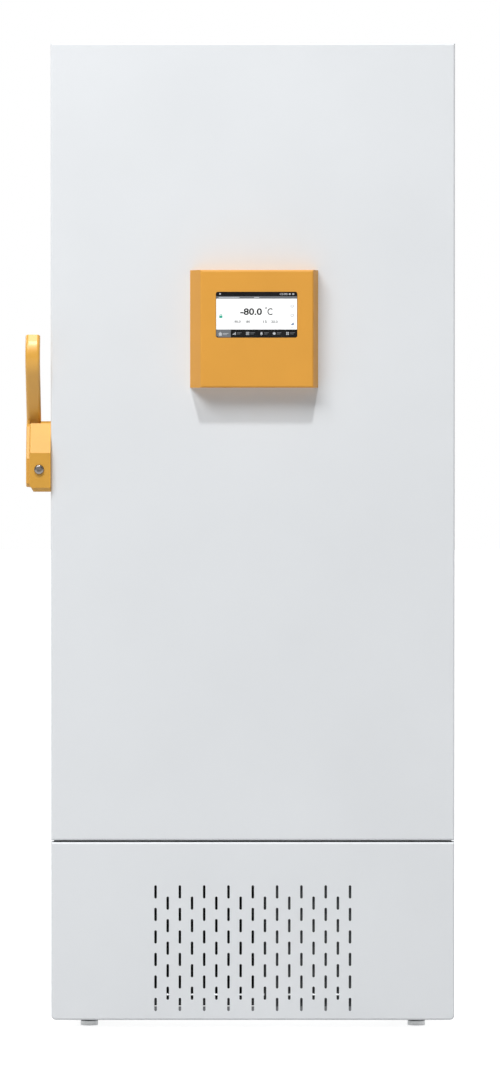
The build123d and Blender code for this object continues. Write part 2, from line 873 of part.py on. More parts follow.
# Display housing: its left side slopes more than its right
with BuildPart() as display_housing:
    with BuildSketch(level(housing_bottom)):
        Polygon(
            (housing_back_left, front_y),
            (housing_front_left, front_y - housing_depth),
            (housing_front_right, front_y - housing_depth),
            (housing_back_right, front_y),
            align=None,
        )
    extrude(amount=housing_height)
    fillet(display_housing.faces().sort_by(Axis.Y)[0].edges(), housing_edge)
    offset(amount=-housing_wall, openings=display_housing.faces().sort_by(Axis.Y)[-1])
    with BuildSketch(from_front(front_y - housing_depth)):
        with Locations((screen_x, screen_z)):
            RectangleRounded(
                screen_width + 2 * seal_gap, screen_height + 2 * seal_gap, screen_corner
            )
    extrude(amount=-2 * housing_wall, mode=Mode.SUBTRACT)

# Touch screen: the glass fills the window and its rim sits behind the wall
with BuildPart() as touch_screen:
    rim_front = front_y - housing_depth + housing_wall
    with BuildSketch(from_front(rim_front)):
        with Locations((screen_x, screen_z)):
            RectangleRounded(screen_width, screen_height, screen_corner)
    extrude(amount=screen_glass)
    with BuildSketch(from_front(rim_front)):
        with Locations((screen_x, screen_z)):
            RectangleRounded(
                screen_width + 2 * screen_rim, screen_height + 2 * screen_rim, screen_corner
            )
    extrude(amount=-screen_body)

# Hood on the door's left edge: a solid block beside the lever, and a folded nose in front of it
hood_slope_back = hood_front + hood_slope
hood_outline = (
    (hood_back, hood_bottom),
    (hood_front + hood_chamfer[0], hood_bottom),
    (hood_front, hood_bottom + hood_chamfer[1]),
    (hood_front, hood_bottom + hood_face),
    (hood_slope_back, hood_top),
)
with BuildPart() as handle_bracket:
    # the nose, with its outer edges rounded and its lower left corner cut off
    with BuildSketch(from_side(hood_block_left)):
        Polygon(*hood_outline, (hood_back, hood_top), align=None)
    extrude(amount=hood_left - hood_block_left)
    with BuildSketch(from_front(hood_back)):
        Polygon(
            (hood_left, hood_bottom),
            (hood_left + hood_corner[0], hood_bottom),
            (hood_left, hood_bottom + hood_corner[1]),
            align=None,
        )
    extrude(amount=hood_depth, mode=Mode.SUBTRACT)
    nose_side = handle_bracket.faces().sort_by(Axis.X)[0]
    fillet(nose_side.edges().sort_by(Axis.Y)[:-1], hood_edge)
    # the room for the lever, open at the left, the top and the back
    with BuildSketch(from_side(hood_block_left)):
        Polygon(*hood_outline, (hood_back, hood_top), align=None)
        offset(amount=-hood_wall, kind=Kind.INTERSECTION)
        with Locations((hood_back, (hood_bottom + hood_top) / 2)):
            Rectangle(2 * (hood_depth - hood_slope - hood_wall + 2), 2 * hood_height)
    extrude(amount=hood_left - hood_block_left, mode=Mode.SUBTRACT)
    with BuildSketch(from_side(-front_side)):
        Polygon(
            *hood_outline,
            (hood_slope_back, hood_top + hood_block_rise),
            (hood_back, hood_top + hood_block_rise),
            align=None,
        )
    extrude(amount=hood_block_left + front_side)
    with BuildSketch(from_front(hood_front + hood_wall)):
        with Locations((screw_x, screw_z)):
            Circle(screw_boss_radius)
    extrude(amount=-(screw_shank_length - hood_wall))
    with BuildSketch(from_front(hood_front)):
        with Locations((screw_x, screw_z)):
            Circle(screw_shank_radius + running_gap)
    extrude(amount=-screw_shank_length, mode=Mode.SUBTRACT)
    with BuildSketch(from_side(hood_block_left)):
        with Locations((lever_pivot_y, lever_pivot_z)):
            Circle(lever_pin_radius)
    extrude(amount=-(hood_block_left + front_side) - lever_pin_wall, mode=Mode.SUBTRACT)

# Domed cap screw in the hood
with BuildPart() as handle_screw:
    with BuildSketch(from_front(hood_front)):
        with Locations((screw_x, screw_z)):
            Circle(screw_head_radius)
    extrude(amount=screw_head_height)
    fillet(handle_screw.faces().sort_by(Axis.Y)[0].edges(), screw_head_height - 1)
    with BuildSketch(from_front(hood_front)):
        with Locations((screw_x, screw_z)):
            Circle(screw_shank_radius)
    extrude(amount=-screw_shank_length)
    with BuildSketch(from_front(hood_front - screw_head_height)):
        with Locations((screw_x, screw_z)):
            RegularPolygon(screw_socket / 2, 6, major_radius=False)
    extrude(amount=screw_socket_floor - screw_head_height, mode=Mode.SUBTRACT)

# Lever: a curved grip, a leg down to the pivot and a cheek that closes the hood's left side
grip_x = (lever_left + lever_right) / 2
grip_front = grip_foot[0] - lever_grip_depth / 2
grip_back = grip_foot[0] + lever_grip_depth / 2
cheek_right = lever_left + lever_cheek
cheek_outline = (
    (-6, -11),
    (-13, -4),
    (-13, 44),
    (11, 106),
    (26, 122),
    (46, 108),
    (56, 38),
    (56, 0),
    (46, -11),
)
with BuildPart() as handle_lever:
    with BuildSketch(from_side(lever_left)):
        with Locations((lever_pivot_y, lever_pivot_z)):
            Polygon(*cheek_outline, align=None)
    extrude(amount=lever_cheek)
    fillet(handle_lever.faces().sort_by(Axis.X)[0].edges(), lever_cheek_edge)
    with BuildLine() as grip_line:
        FilletPolyline(
            (grip_x, *grip_foot),
            (grip_x, *grip_bend),
            (grip_x, *grip_crest),
            (grip_x, *grip_tip),
            radius=(grip_bend_radius, grip_crest_radius),
        )
    with BuildSketch(Plane(origin=(grip_x, *grip_foot), x_dir=(1, 0, 0), z_dir=(0, 0, 1))):
        RectangleRounded(lever_width, lever_grip_depth, lever_grip_round)
    sweep(path=grip_line.line)
    with BuildSketch(from_side(cheek_right)):
        with Locations((lever_pivot_y, lever_pivot_z)):
            Circle(lever_boss_radius)
        Polygon(
            (lever_pivot_y - 8, lever_pivot_z + 9),
            (grip_front, grip_foot[1]),
            (grip_front, grip_foot[1] + lever_boss_radius),
            (grip_back, grip_foot[1] + lever_boss_radius),
            (grip_back, grip_foot[1] - lever_grip_depth),
            (lever_pivot_y + 8, lever_pivot_z - 9),
            align=None,
        )
    extrude(amount=lever_right - cheek_right)
    with BuildSketch(from_side(lever_left)):
        with Locations((lever_pivot_y, lever_pivot_z)):
            Circle(lever_pin_radius + running_gap)
    extrude(amount=lever_width, mode=Mode.SUBTRACT)

with BuildPart() as lever_pin:
    with BuildSketch(from_side(lever_left + lever_pin_inset)):
        with Locations((lever_pivot_y, lever_pivot_z)):
            Circle(lever_pin_radius)
    extrude(amount=lever_reach - lever_pin_wall - lever_pin_inset)

# Hook plate on the lever: its tooth drops behind the striker stud
stud_room = stud_radius + hook_gap
with BuildPart() as latch_hook:
    with BuildSketch(from_side(cheek_right)):
        Polygon(
            (grip_back, striker_z + hook_height),
            (striker_y - hook_height, striker_z + hook_height),
            (striker_y + stud_room + hook_nose, striker_z + 0.8 * hook_height),
            (striker_y + stud_room + hook_nose, striker_z),
            (striker_y + stud_room + hook_nose / 2, striker_z - hook_gap * 12),
            (striker_y + stud_room, striker_z),
            (striker_y - stud_room, striker_z),
            (striker_y - stud_room, striker_z - hook_tooth),
            (grip_back, striker_z - hook_height),
            align=None,
        )
        with Locations((striker_y, striker_z)):
            Circle(stud_room, mode=Mode.SUBTRACT)
    extrude(amount=hook_thickness)

# Striker on the cabinet's left side: plate, tapered boss and stud
with BuildPart() as striker:
    with BuildSketch(from_side(-cabinet_side)):
        with Locations((striker_y + hook_height, striker_z + hook_tooth)):
            RectangleRounded(striker_width, striker_length, striker_corner)
    extrude(amount=-striker_plate)
    with BuildSketch(from_side(-cabinet_side - striker_plate)):
        with Locations((striker_y, striker_z)):
            Circle(striker_boss_radius)
    extrude(amount=-striker_boss_height, taper=8)
    with BuildSketch(from_side(-cabinet_side - striker_plate)):
        with Locations((striker_y, striker_z)):
            Circle(stud_radius)
    extrude(amount=stud_end + cabinet_side + striker_plate)

# Lower panel: a folded pan with staggered rows of slots
panel_middle = floor_clearance + panel_height / 2
slot_top = panel_top - slot_top_drop
slot_places = []
for column in range(slot_columns):
    x = (column - (slot_columns - 1) / 2) * slot_pitch
    shift = slot_row_pitch / 2 if column % 2 else 0
    rows = slot_rows - 1 if column % 2 else slot_rows
    slot_places += [(x, slot_top - shift - row * slot_row_pitch) for row in range(rows)]
with BuildPart() as grille_panel:
    with BuildSketch(from_front(front_y + panel_depth)):
        with Locations((0, panel_middle)):
            Rectangle(front_width, panel_height)
    extrude(amount=panel_depth)
    fillet(grille_panel.edges().filter_by(Axis.Y).group_by(Axis.Z)[0], panel_corner)
    fillet(grille_panel.faces().sort_by(Axis.Y)[0].edges(), pan_edge_radius)
    offset(amount=-sheet, openings=grille_panel.faces().sort_by(Axis.Y)[-1])
    with BuildSketch(from_front(front_y)):
        with Locations(*slot_places):
            SlotOverall(slot_length, slot_width, rotation=90)
    extrude(amount=-2 * sheet, mode=Mode.SUBTRACT)
    # knuckles of its hinge, on straps that reach back from the right return
    for z in panel_hinge_zs:
        with BuildSketch(level(z)):
            with Locations(
                (front_side - sheet - panel_strap / 2, front_y + panel_depth - panel_strap)
            ):
                Rectangle(panel_strap, panel_strap_depth)
            with Locations((panel_hinge_x, panel_hinge_y)):
                Circle(panel_knuckle)
        extrude(amount=panel_hinge_length)
        with BuildSketch(level(z)):
            with Locations((panel_hinge_x, panel_hinge_y)):
                Circle(panel_pin_radius + running_gap)
        extrude(amount=panel_hinge_length, mode=Mode.SUBTRACT)

# Pins of the lower panel, on angle brackets on the right cover
bracket_back = cover_front + pin_bracket_depth
with BuildPart() as panel_hinge_pins:
    for z in panel_hinge_zs:
        bracket_z = z - pin_bracket - knuckle_gap
        with BuildSketch(level(bracket_z)):
            with Locations((panel_hinge_x, panel_hinge_y)):
                Circle(panel_knuckle)
            with Locations((cabinet_side + pin_bracket_width / 2, (panel_hinge_y + bracket_back) / 2)):
                Rectangle(pin_bracket_width, bracket_back - panel_hinge_y)
        extrude(amount=pin_bracket)
        with BuildSketch(level(bracket_z)):
            with Locations((cabinet_side + pin_bracket / 2, bracket_back - panel_strap_depth / 2)):
                Rectangle(pin_bracket, panel_strap_depth)
        extrude(amount=pin_bracket_height)
        with BuildSketch(level(bracket_z)):
            with Locations((panel_hinge_x, panel_hinge_y)):
                Circle(panel_pin_radius)
        extrude(amount=panel_hinge_length)

# Air filter clipped behind the left of the lower panel
filter_middle = ((filter_left + filter_right) / 2, (filter_bottom + filter_top) / 2)
filter_width = filter_right - filter_left
filter_height = filter_top - filter_bottom
filter_front = front_y + sheet + seal_gap
with BuildPart() as air_filter:
    with BuildSketch(from_front(filter_front)):
        with Locations(filter_middle):
            Rectangle(filter_width, filter_height)
            Rectangle(
                filter_width - 2 * filter_frame,
                filter_height - 2 * filter_frame,
                mode=Mode.SUBTRACT,
            )
    extrude(amount=-filter_depth)
    with BuildSketch(from_front(filter_front + filter_depth - filter_pad)):
        with Locations(filter_middle):
            Rectangle(filter_width - filter_frame, filter_height - filter_frame)
    extrude(amount=-filter_pad)

# Base pan, a tray on the casters
with BuildPart() as base_pan:
    with BuildSketch(level(pan_z)):
        with Locations((0, (rail_front + rail_back) / 2)):
            Rectangle(2 * frame_side, rail_back - rail_front)
        for x in (-foot_x, foot_x):
            with Locations((x, foot_y)):
                Circle(foot_stem_radius + 1, mode=Mode.SUBTRACT)
    extrude(amount=sheet)

# Base frame: four rails and six posts that carry the insulated cabinet
with BuildPart() as base_frame:
    with BuildSketch(level(rail_z)):
        with Locations((0, (rail_front + rail_back) / 2)):
            Rectangle(2 * frame_side, rail_back - rail_front)
            Rectangle(
                2 * (frame_side - rail_width),
                rail_back - rail_front - 2 * rail_width,
                mode=Mode.SUBTRACT,
            )
        for x in (-foot_x, foot_x):
            with Locations((x, foot_y)):
                Circle(foot_stem_radius + running_gap, mode=Mode.SUBTRACT)
    extrude(amount=rail_height)
    with BuildSketch(level(rail_top)):
        for x in (-1, 1):
            for y in (rail_front + post_depth / 2, 0, rail_back - post_depth / 2):
                with Locations((x * (frame_side - rail_width / 2), y)):
                    Rectangle(rail_width, post_depth)
    extrude(amount=cabinet_bottom - rail_top)

# Side covers of the machine compartment, louvred towards the back
cover_height = cabinet_bottom - floor_clearance
cover_middle = floor_clearance + cover_height / 2
with BuildPart() as side_covers:
    for side in (-1, 1):
        with BuildSketch(from_side(side * cover_inner)):
            with Locations(((cover_front + cover_back) / 2, cover_middle)):
                Rectangle(cover_back - cover_front, cover_height)
            with Locations((cover_back - louvre_back_inset - louvre_length / 2, cover_middle)):
                with GridLocations(0, louvre_pitch, 1, louvre_count):
                    Rectangle(louvre_length, louvre_height, mode=Mode.SUBTRACT)
        extrude(amount=side * cover_sheet)

# Rear cover with a field of slots beside the inlet's cut-out
rear_slot_left = inlet_x + rear_slot_inset
rear_slot_right = cover_inner - rear_slot_inset
rear_slot_step = (rear_slot_right - rear_slot_left) / rear_slot_columns
with BuildPart() as rear_grille:
    with BuildSketch(from_front(cover_back - rear_cover)):
        with Locations((0, cover_middle)):
            Rectangle(2 * frame_side, cover_height)
        with Locations(((rear_slot_left + rear_slot_right) / 2, cover_middle + rear_slot_rise)):
            with GridLocations(rear_slot_step, rear_slot_pitch, rear_slot_columns, rear_slot_rows):
                Rectangle(rear_slot_step - rear_slot_bridge, rear_slot_height, mode=Mode.SUBTRACT)
        with Locations((inlet_x, inlet_z)):
            Rectangle(inlet_width, inlet_height, mode=Mode.SUBTRACT)
    extrude(amount=-rear_cover)

# Power inlet: a flanged socket with three blades in its well
inlet_face = cover_back + inlet_flange_depth
with BuildPart() as power_inlet:
    with BuildSketch(from_front(cover_back)):
        with Locations((inlet_x, inlet_z)):
            RectangleRounded(
                inlet_width + 2 * inlet_flange, inlet_height + 2 * inlet_flange, inlet_flange - 2
            )
    extrude(amount=-inlet_flange_depth)
    with BuildSketch(from_front(inlet_face)):
        with Locations((inlet_x, inlet_z)):
            Rectangle(inlet_width - fit_gap, inlet_height - fit_gap)
    extrude(amount=inlet_body)
    with BuildSketch(from_front(inlet_face)):
        with Locations((inlet_x, inlet_z)):
            Rectangle(inlet_width - 2 * inlet_wall, inlet_height - 2 * inlet_wall)
    extrude(amount=inlet_well, mode=Mode.SUBTRACT)
    with BuildSketch(from_front(inlet_face - inlet_well)):
        with Locations((inlet_x, inlet_z)):
            with GridLocations(inlet_blade_pitch, 0, 3, 1):
                Rectangle(inlet_blade[0], inlet_blade[1])
    extrude(amount=-inlet_blade[2])

# Condenser: two headers, flat tubes between them, end plates that stand on the base, and the
# port of the left header
condenser_width = condenser_right - condenser_left
port_line_x = condenser_left - header_radius + tube_radius - 1
port_line_y = condenser_middle + header_radius + condenser_port
tube_step = (condenser_height - 2 * condenser_end) / (condenser_tubes - 1)
with BuildPart() as condenser:
    for x in (condenser_left, condenser_right):
        with BuildSketch(level(condenser_bottom)):
            with Locations((x, condenser_middle)):
                Circle(header_radius)
        extrude(amount=condenser_height)
    for i in range(condenser_tubes):
        with BuildSketch(level(condenser_bottom + condenser_end + i * tube_step)):
            with Locations((fan_x, condenser_middle)):
                Rectangle(condenser_width - header_radius, condenser_depth - 6)
        extrude(amount=condenser_tube / 2, both=True)
    for low, high in (
        (rail_z, condenser_bottom + condenser_tube),
        (condenser_top - condenser_tube, condenser_top),
    ):
        with BuildSketch(level(low)):
            with Locations((fan_x, condenser_middle)):
                Rectangle(condenser_width, condenser_depth)
        extrude(amount=high - low)
    with BuildSketch(from_front(condenser_middle)):
        with Locations((port_line_x, fan_z)):
            Circle(tube_radius + condenser_port_wall)
    extrude(amount=condenser_middle - port_line_y)

# Fan shroud behind the condenser
shroud_back = shroud_front + shroud_depth
with BuildPart() as fan_shroud:
    with BuildSketch(from_front(shroud_front)):
        with Locations((fan_x, fan_z)):
            Rectangle(condenser_width, condenser_height)
            Circle(fan_radius, mode=Mode.SUBTRACT)
    extrude(amount=-shroud_sheet)
    with BuildSketch(from_front(shroud_front)):
        with Locations((fan_x, fan_z)):
            Circle(fan_radius + shroud_sheet)
            Circle(fan_radius, mode=Mode.SUBTRACT)
    extrude(amount=-shroud_depth)
    with BuildSketch(level(rail_z)):
        with Locations((fan_x, shroud_front + shroud_foot / 2)):
            Rectangle(condenser_width, shroud_foot)
    extrude(amount=shroud_sheet)
    with BuildSketch(level(rail_z)):
        with Locations((fan_x, shroud_front + shroud_sheet / 2)):
            Rectangle(condenser_width, shroud_sheet)
    extrude(amount=condenser_bottom + sheet - rail_z)

# Axial fan: twisted blades on a hub
blade_middle = shroud_front + shroud_depth / 2
blade_reach = sqrt((fan_radius - fan_tip_gap) ** 2 - (blade_chord / 2) ** 2)
blade_sections = (
    (hub_radius - hub_sink, blade_root_pitch, blade_root_chord),
    (blade_reach, blade_tip_pitch, blade_chord),
)
with BuildPart() as fan_blades:
    with BuildSketch(from_front(blade_middle + hub_depth / 2)):
        with Locations((fan_x, fan_z)):
            Circle(hub_radius)
    extrude(amount=hub_depth)
    fillet(fan_blades.faces().sort_by(Axis.Y)[0].edges(), hub_depth / 4)
    for i in range(fan_blade_count):
        turn = radians(360 / fan_blade_count * i)
        out = Vector(cos(turn), 0, sin(turn))
        across = Vector(-sin(turn), 0, cos(turn))
        for reach, pitch, chord in blade_sections:
            edge = across * cos(radians(pitch)) + Vector(0, 1, 0) * sin(radians(pitch))
            root = Vector(fan_x, blade_middle, fan_z) + out * reach
            with BuildSketch(Plane(origin=root, x_dir=edge, z_dir=out)):
                Rectangle(chord, blade_thickness)
        loft()
    with BuildSketch(from_front(blade_middle + hub_depth / 2)):
        with Locations((fan_x, fan_z)):
            Circle(motor_shaft + running_gap)
    extrude(amount=hub_depth / 2 + 2, mode=Mode.SUBTRACT)

# Fan motor on three arms
motor_front = shroud_back + motor_gap
with BuildPart() as fan_motor:
    with BuildSketch(from_front(motor_front)):
        with Locations((fan_x, fan_z)):
            Circle(motor_radius)
    extrude(amount=-motor_length)
    fillet(fan_motor.edges().filter_by(GeomType.CIRCLE), motor_arm / 2)
    with BuildSketch(from_front(motor_front)):
        with Locations((fan_x, fan_z)):
            with PolarLocations(0, 3, start_angle=90):
                with Locations((fan_radius / 2 + shroud_sheet * 2, 0)):
                    Rectangle(fan_radius + shroud_sheet * 2, motor_arm)
    extrude(amount=-2 * shroud_sheet)
    with BuildSketch(from_front(shroud_back)):
        with Locations((fan_x, fan_z)):
            with PolarLocations(fan_radius + shroud_sheet / 2, 3, start_angle=90):
                Rectangle(4 * shroud_sheet, motor_arm)
    extrude(amount=-motor_gap)
    with BuildSketch(from_front(motor_front)):
        with Locations((fan_x, fan_z)):
            Circle(motor_shaft)
    extrude(amount=motor_front - blade_middle)

# Two hermetic compressors: domed shells on feet, with a terminal cover in front
shoulder_turn = 90 - 2 * degrees(
    atan((compressor_dome - compressor_shoulder) / (compressor_radius - compressor_shoulder))
)
base_inner = compressor_radius - compressor_base_radius + compressor_foot
with BuildPart() as compressors:
    for x in (first_x, second_x):
        with BuildSketch(level(mount_top)):
            with Locations((x, compressor_y)):
                RectangleRounded(
                    2 * compressor_side, 2 * compressor_side - mount_spread, compressor_foot * 2
                )
        extrude(amount=2 * sheet)
        with BuildSketch(Plane(origin=(x, compressor_y, mount_top), x_dir=(1, 0, 0), z_dir=(0, -1, 0))):
            with BuildLine():
                Line((0, sheet), (base_inner, sheet))
                RadiusArc(
                    (base_inner, sheet),
                    (compressor_radius, compressor_base_radius),
                    -compressor_base_radius,
                )
                Line(
                    (compressor_radius, compressor_base_radius),
                    (compressor_radius, compressor_height - compressor_dome),
                )
                shoulder = JernArc(
                    (compressor_radius, compressor_height - compressor_dome),
                    (0, 1),
                    compressor_shoulder,
                    shoulder_turn,
                )
                TangentArc(shoulder @ 1, (0, compressor_height), tangent=shoulder % 1)
                Line((0, compressor_height), (0, sheet))
            make_face()
        revolve(axis=Axis((x, compressor_y, 0), (0, 0, 1)))
        with BuildSketch(from_front(compressor_y - compressor_radius + compressor_foot)):
            with Locations((x, mount_top + terminal_z)):
                RectangleRounded(terminal_width, terminal_height, compressor_foot)
        extrude(amount=terminal_depth)

with BuildPart() as compressor_mounts:
    for x in (first_x, second_x):
        with BuildSketch(level(rail_z)):
            with Locations((x, compressor_y)):
                with GridLocations(
                    2 * compressor_side - 2 * mount_radius - 4,
                    2 * compressor_side - mount_spread - 2 * mount_radius - 8,
                    2,
                    2,
                ):
                    Circle(mount_radius)
        extrude(amount=mount_height)

# Cascade heat exchanger in its insulated jacket
with BuildPart() as heat_exchanger:
    with BuildSketch(level(rail_z)):
        with Locations((exchanger_x, exchanger_y)):
            RectangleRounded(exchanger_width, exchanger_depth, exchanger_corner)
    extrude(amount=exchanger_height)
    fillet(heat_exchanger.faces().sort_by(Axis.Z)[-1].edges(), exchanger_corner / 2)

# Copper lines between the compressors, the exchanger, the condenser and the insulated cabinet
line_start = mount_top + compressor_height - tube_radius * 4
exchanger_top = rail_z + exchanger_height
line_reach = cabinet_bottom - line_drop
line_back = cabinet_back - line_back_inset
suction = (second_x + 40, compressor_y)
cold_in = (exchanger_x - 20, exchanger_y - 30)
cold_out = (exchanger_x + 20, exchanger_y + 40)
coil_in = (exchanger_x - 80, line_back)
return_in = (first_x + 30, compressor_y + 20)
coil_out = (first_x + 130, line_back)
discharge = (first_x - 20, compressor_y - 30)
condenser_in = (port_line_x, port_line_y + 2 * line_bend + 2)
lines = (
    (
        (*suction, line_start),
        (*suction, line_reach),
        (*cold_in, line_reach),
        (*cold_in, exchanger_top),
    ),
    (
        (*cold_out, exchanger_top),
        (*cold_out, line_reach),
        (*coil_in, line_reach),
        (*coil_in, cabinet_bottom),
    ),
    (
        (*return_in, line_start),
        (*return_in, line_reach),
        (*coil_out, line_reach),
        (*coil_out, cabinet_bottom),
    ),
    (
        (*discharge, line_start),
        (*discharge, line_reach),
        (*condenser_in, line_reach),
        (*condenser_in, fan_z),
        (port_line_x, port_line_y, fan_z),
    ),
)
with BuildPart() as refrigerant_lines:
    for points in lines:
        with BuildLine() as route:
            FilletPolyline(*points, radius=line_bend)
        with BuildSketch(Plane(origin=route.line @ 0, z_dir=route.line % 0)):
            Circle(tube_radius)
        sweep(path=route.line)

# Control box behind the right of the lower panel, with a line round its lid and a foot that
# stands on the front rail
control_width = control_right - control_left
control_height = control_top - control_bottom
control_middle = ((control_left + control_right) / 2, (control_bottom + control_top) / 2)
lid_inset, lid_gap, lid_depth = lid_line
with BuildPart() as control_box:
    with BuildSketch(from_front(control_front)):
        with Locations(control_middle):
            RectangleRounded(control_width, control_height, control_corner)
    extrude(amount=-control_depth)
    with BuildSketch(from_front(control_front + lid_inset)):
        with Locations(control_middle):
            Rectangle(control_width, control_height)
            Rectangle(
                control_width - 2 * lid_depth, control_height - 2 * lid_depth, mode=Mode.SUBTRACT
            )
    extrude(amount=-lid_gap, mode=Mode.SUBTRACT)
    with BuildSketch(from_front(control_front)):
        with Locations((rocker_x, rocker_z)):
            Rectangle(rocker_width + 2 * rocker_gap, rocker_height + 2 * rocker_gap)
    extrude(amount=-rocker_pocket, mode=Mode.SUBTRACT)
    with BuildSketch(from_side(rocker_x)):
        with Locations((rocker_y, rocker_z)):
            Circle(rocker_pin_radius + running_gap)
    extrude(amount=rocker_width / 2 + rocker_pin_length + fit_gap, both=True, mode=Mode.SUBTRACT)
    with BuildSketch(level(rail_top)):
        with Locations((control_middle[0], control_front + rail_width / 2)):
            Rectangle(control_width - 40, rail_width - 6)
    extrude(amount=control_bottom - rail_top + 1)

# Power switch: a rocker on a pin across its middle
rocker_reach = rocker_height / 2 - 2 * rocker_gap
with BuildPart() as power_rocker:
    with BuildSketch(from_side(rocker_x)):
        with Locations((rocker_y, rocker_z)):
            Polygon(
                (-7.5, -rocker_reach),
                (-4.5, 0),
                (-7.5, rocker_reach),
                (rocker_axis_depth, rocker_reach / 2),
                (rocker_axis_depth, -rocker_reach / 2),
                align=None,
                rotation=-rocker_tilt,
            )
    extrude(amount=rocker_width / 2, both=True)
    with BuildSketch(from_side(rocker_x)):
        with Locations((rocker_y, rocker_z)):
            Circle(rocker_pin_radius)
    extrude(amount=rocker_width / 2 + rocker_pin_length, both=True)

# Port plug: a soft stopper with a gripping flange
with BuildPart() as access_port_plug:
    with BuildSketch(from_front(cabinet_back)):
        with Locations((port_x, port_z)):
            Circle(port_bore / 2 - seal_gap)
    extrude(amount=plug_length)
    with BuildSketch(from_front(cabinet_back + seal_gap)):
        with Locations((port_x, port_z)):
            Circle(plug_flange / 2)
            with PolarLocations(plug_flange / 2 + plug_grip_radius / 2, plug_grips):
                Circle(plug_grip_radius, mode=Mode.SUBTRACT)
    extrude(amount=-plug_flange_depth)
    with BuildSketch(from_front(cabinet_back)):
        with Locations((port_x, port_z)):
            Circle(port_bore / 2 - seal_gap)
    extrude(amount=-2 * seal_gap)

# Casters: top plate with its kingpin, fork with axle, and wheel
plate_bottom = pan_z - caster_plate
with BuildPart() as caster_plates:
    for x in (-caster_x, caster_x):
        for y in (caster_front_y, caster_back_y):
            with BuildSketch(level(plate_bottom)):
                with Locations((x, y)):
                    RectangleRounded(caster_plate_size, caster_plate_size, caster_plate_corner)
            extrude(amount=caster_plate)
            with BuildSketch(level(plate_bottom)):
                with Locations((x, y)):
                    Circle(kingpin_radius)
            extrude(amount=-crown_height - kingpin_end)

crown_top = plate_bottom - seal_gap
crown_bottom = crown_top - crown_height
fork_inner = wheel_width / 2 + 1
wheel_half = (
    (-wheel_width / 2, axle_radius + running_gap),
    (-wheel_width / 2, wheel_hub_radius),
    (-wheel_web / 2, wheel_hub_radius + 4),
    (-wheel_web / 2, wheel_radius - tyre_depth),
    (-wheel_width / 2, wheel_radius - tyre_depth + 2),
    (-wheel_width / 2, wheel_radius - tyre_depth / 3),
    (-wheel_width / 2 + tyre_depth / 2, wheel_radius),
)
for end, y in (("front", caster_front_y), ("back", caster_back_y)):
    for hand, x in (("left", -caster_x), ("right", caster_x)):
        axle_y = y + caster_trail
        with BuildPart() as caster_fork:
            with BuildSketch(level(crown_bottom)):
                with Locations((x, y)):
                    Circle(crown_radius)
                with Locations((x, y + kingpin_radius)):
                    Rectangle(2 * (fork_inner + fork_sheet), 2 * (crown_radius - kingpin_radius))
                with Locations((x, y)):
                    Circle(kingpin_radius + running_gap, mode=Mode.SUBTRACT)
            extrude(amount=crown_height)
            for side in (-1, 1):
                with BuildSketch(from_side(x + side * fork_inner)):
                    Polygon(
                        (y + kingpin_radius - fork_root, crown_bottom + 1),
                        (y + kingpin_radius + fork_root, crown_bottom + 1),
                        (axle_y + fork_eye_radius, wheel_radius),
                        (axle_y - fork_eye_radius + 1, wheel_radius - axle_radius),
                        align=None,
                    )
                    with Locations((axle_y, wheel_radius)):
                        Circle(fork_eye_radius)
                extrude(amount=side * fork_sheet)
            with BuildSketch(from_side(x)):
                with Locations((axle_y, wheel_radius)):
                    Circle(axle_radius)
            extrude(amount=fork_inner + fork_sheet + axle_end, both=True)
        caster_fork.part.label = f"caster_fork_{end}_{hand}"
        export_step(caster_fork.part, f"parts/caster_fork_{end}_{hand}.step")

        with BuildPart() as caster_wheel:
            with BuildSketch(Plane(origin=(x, axle_y, wheel_radius), z_dir=(0, 0, 1))):
                with BuildLine():
                    Polyline(*wheel_half, *[(-a, r) for a, r in reversed(wheel_half)], close=True)
                make_face()
            revolve(axis=Axis((x, axle_y, wheel_radius), (1, 0, 0)))
        caster_wheel.part.label = f"caster_wheel_{end}_{hand}"
        export_step(caster_wheel.part, f"parts/caster_wheel_{end}_{hand}.step")

# Levelling feet, screwed up into the front rail
for hand, x in (("left", -foot_x), ("right", foot_x)):
    with BuildPart() as levelling_foot:
        with BuildSketch(level(0)):
            with Locations((x, foot_y)):
                Circle(foot_radius)
        extrude(amount=foot_pad)
        fillet(levelling_foot.faces().sort_by(Axis.Z)[-1].edges(), foot_pad / 3)
        with BuildSketch(level(foot_pad)):
            with Locations((x, foot_y)):
                RegularPolygon(foot_nut_radius, 6)
        extrude(amount=foot_nut_height)
        with BuildSketch(level(foot_pad)):
            with Locations((x, foot_y)):
                Circle(foot_stem_radius)
        extrude(amount=rail_top - foot_travel - foot_pad)
    levelling_foot.part.label = f"levelling_foot_{hand}"
    export_step(levelling_foot.part, f"parts/levelling_foot_{hand}.step")

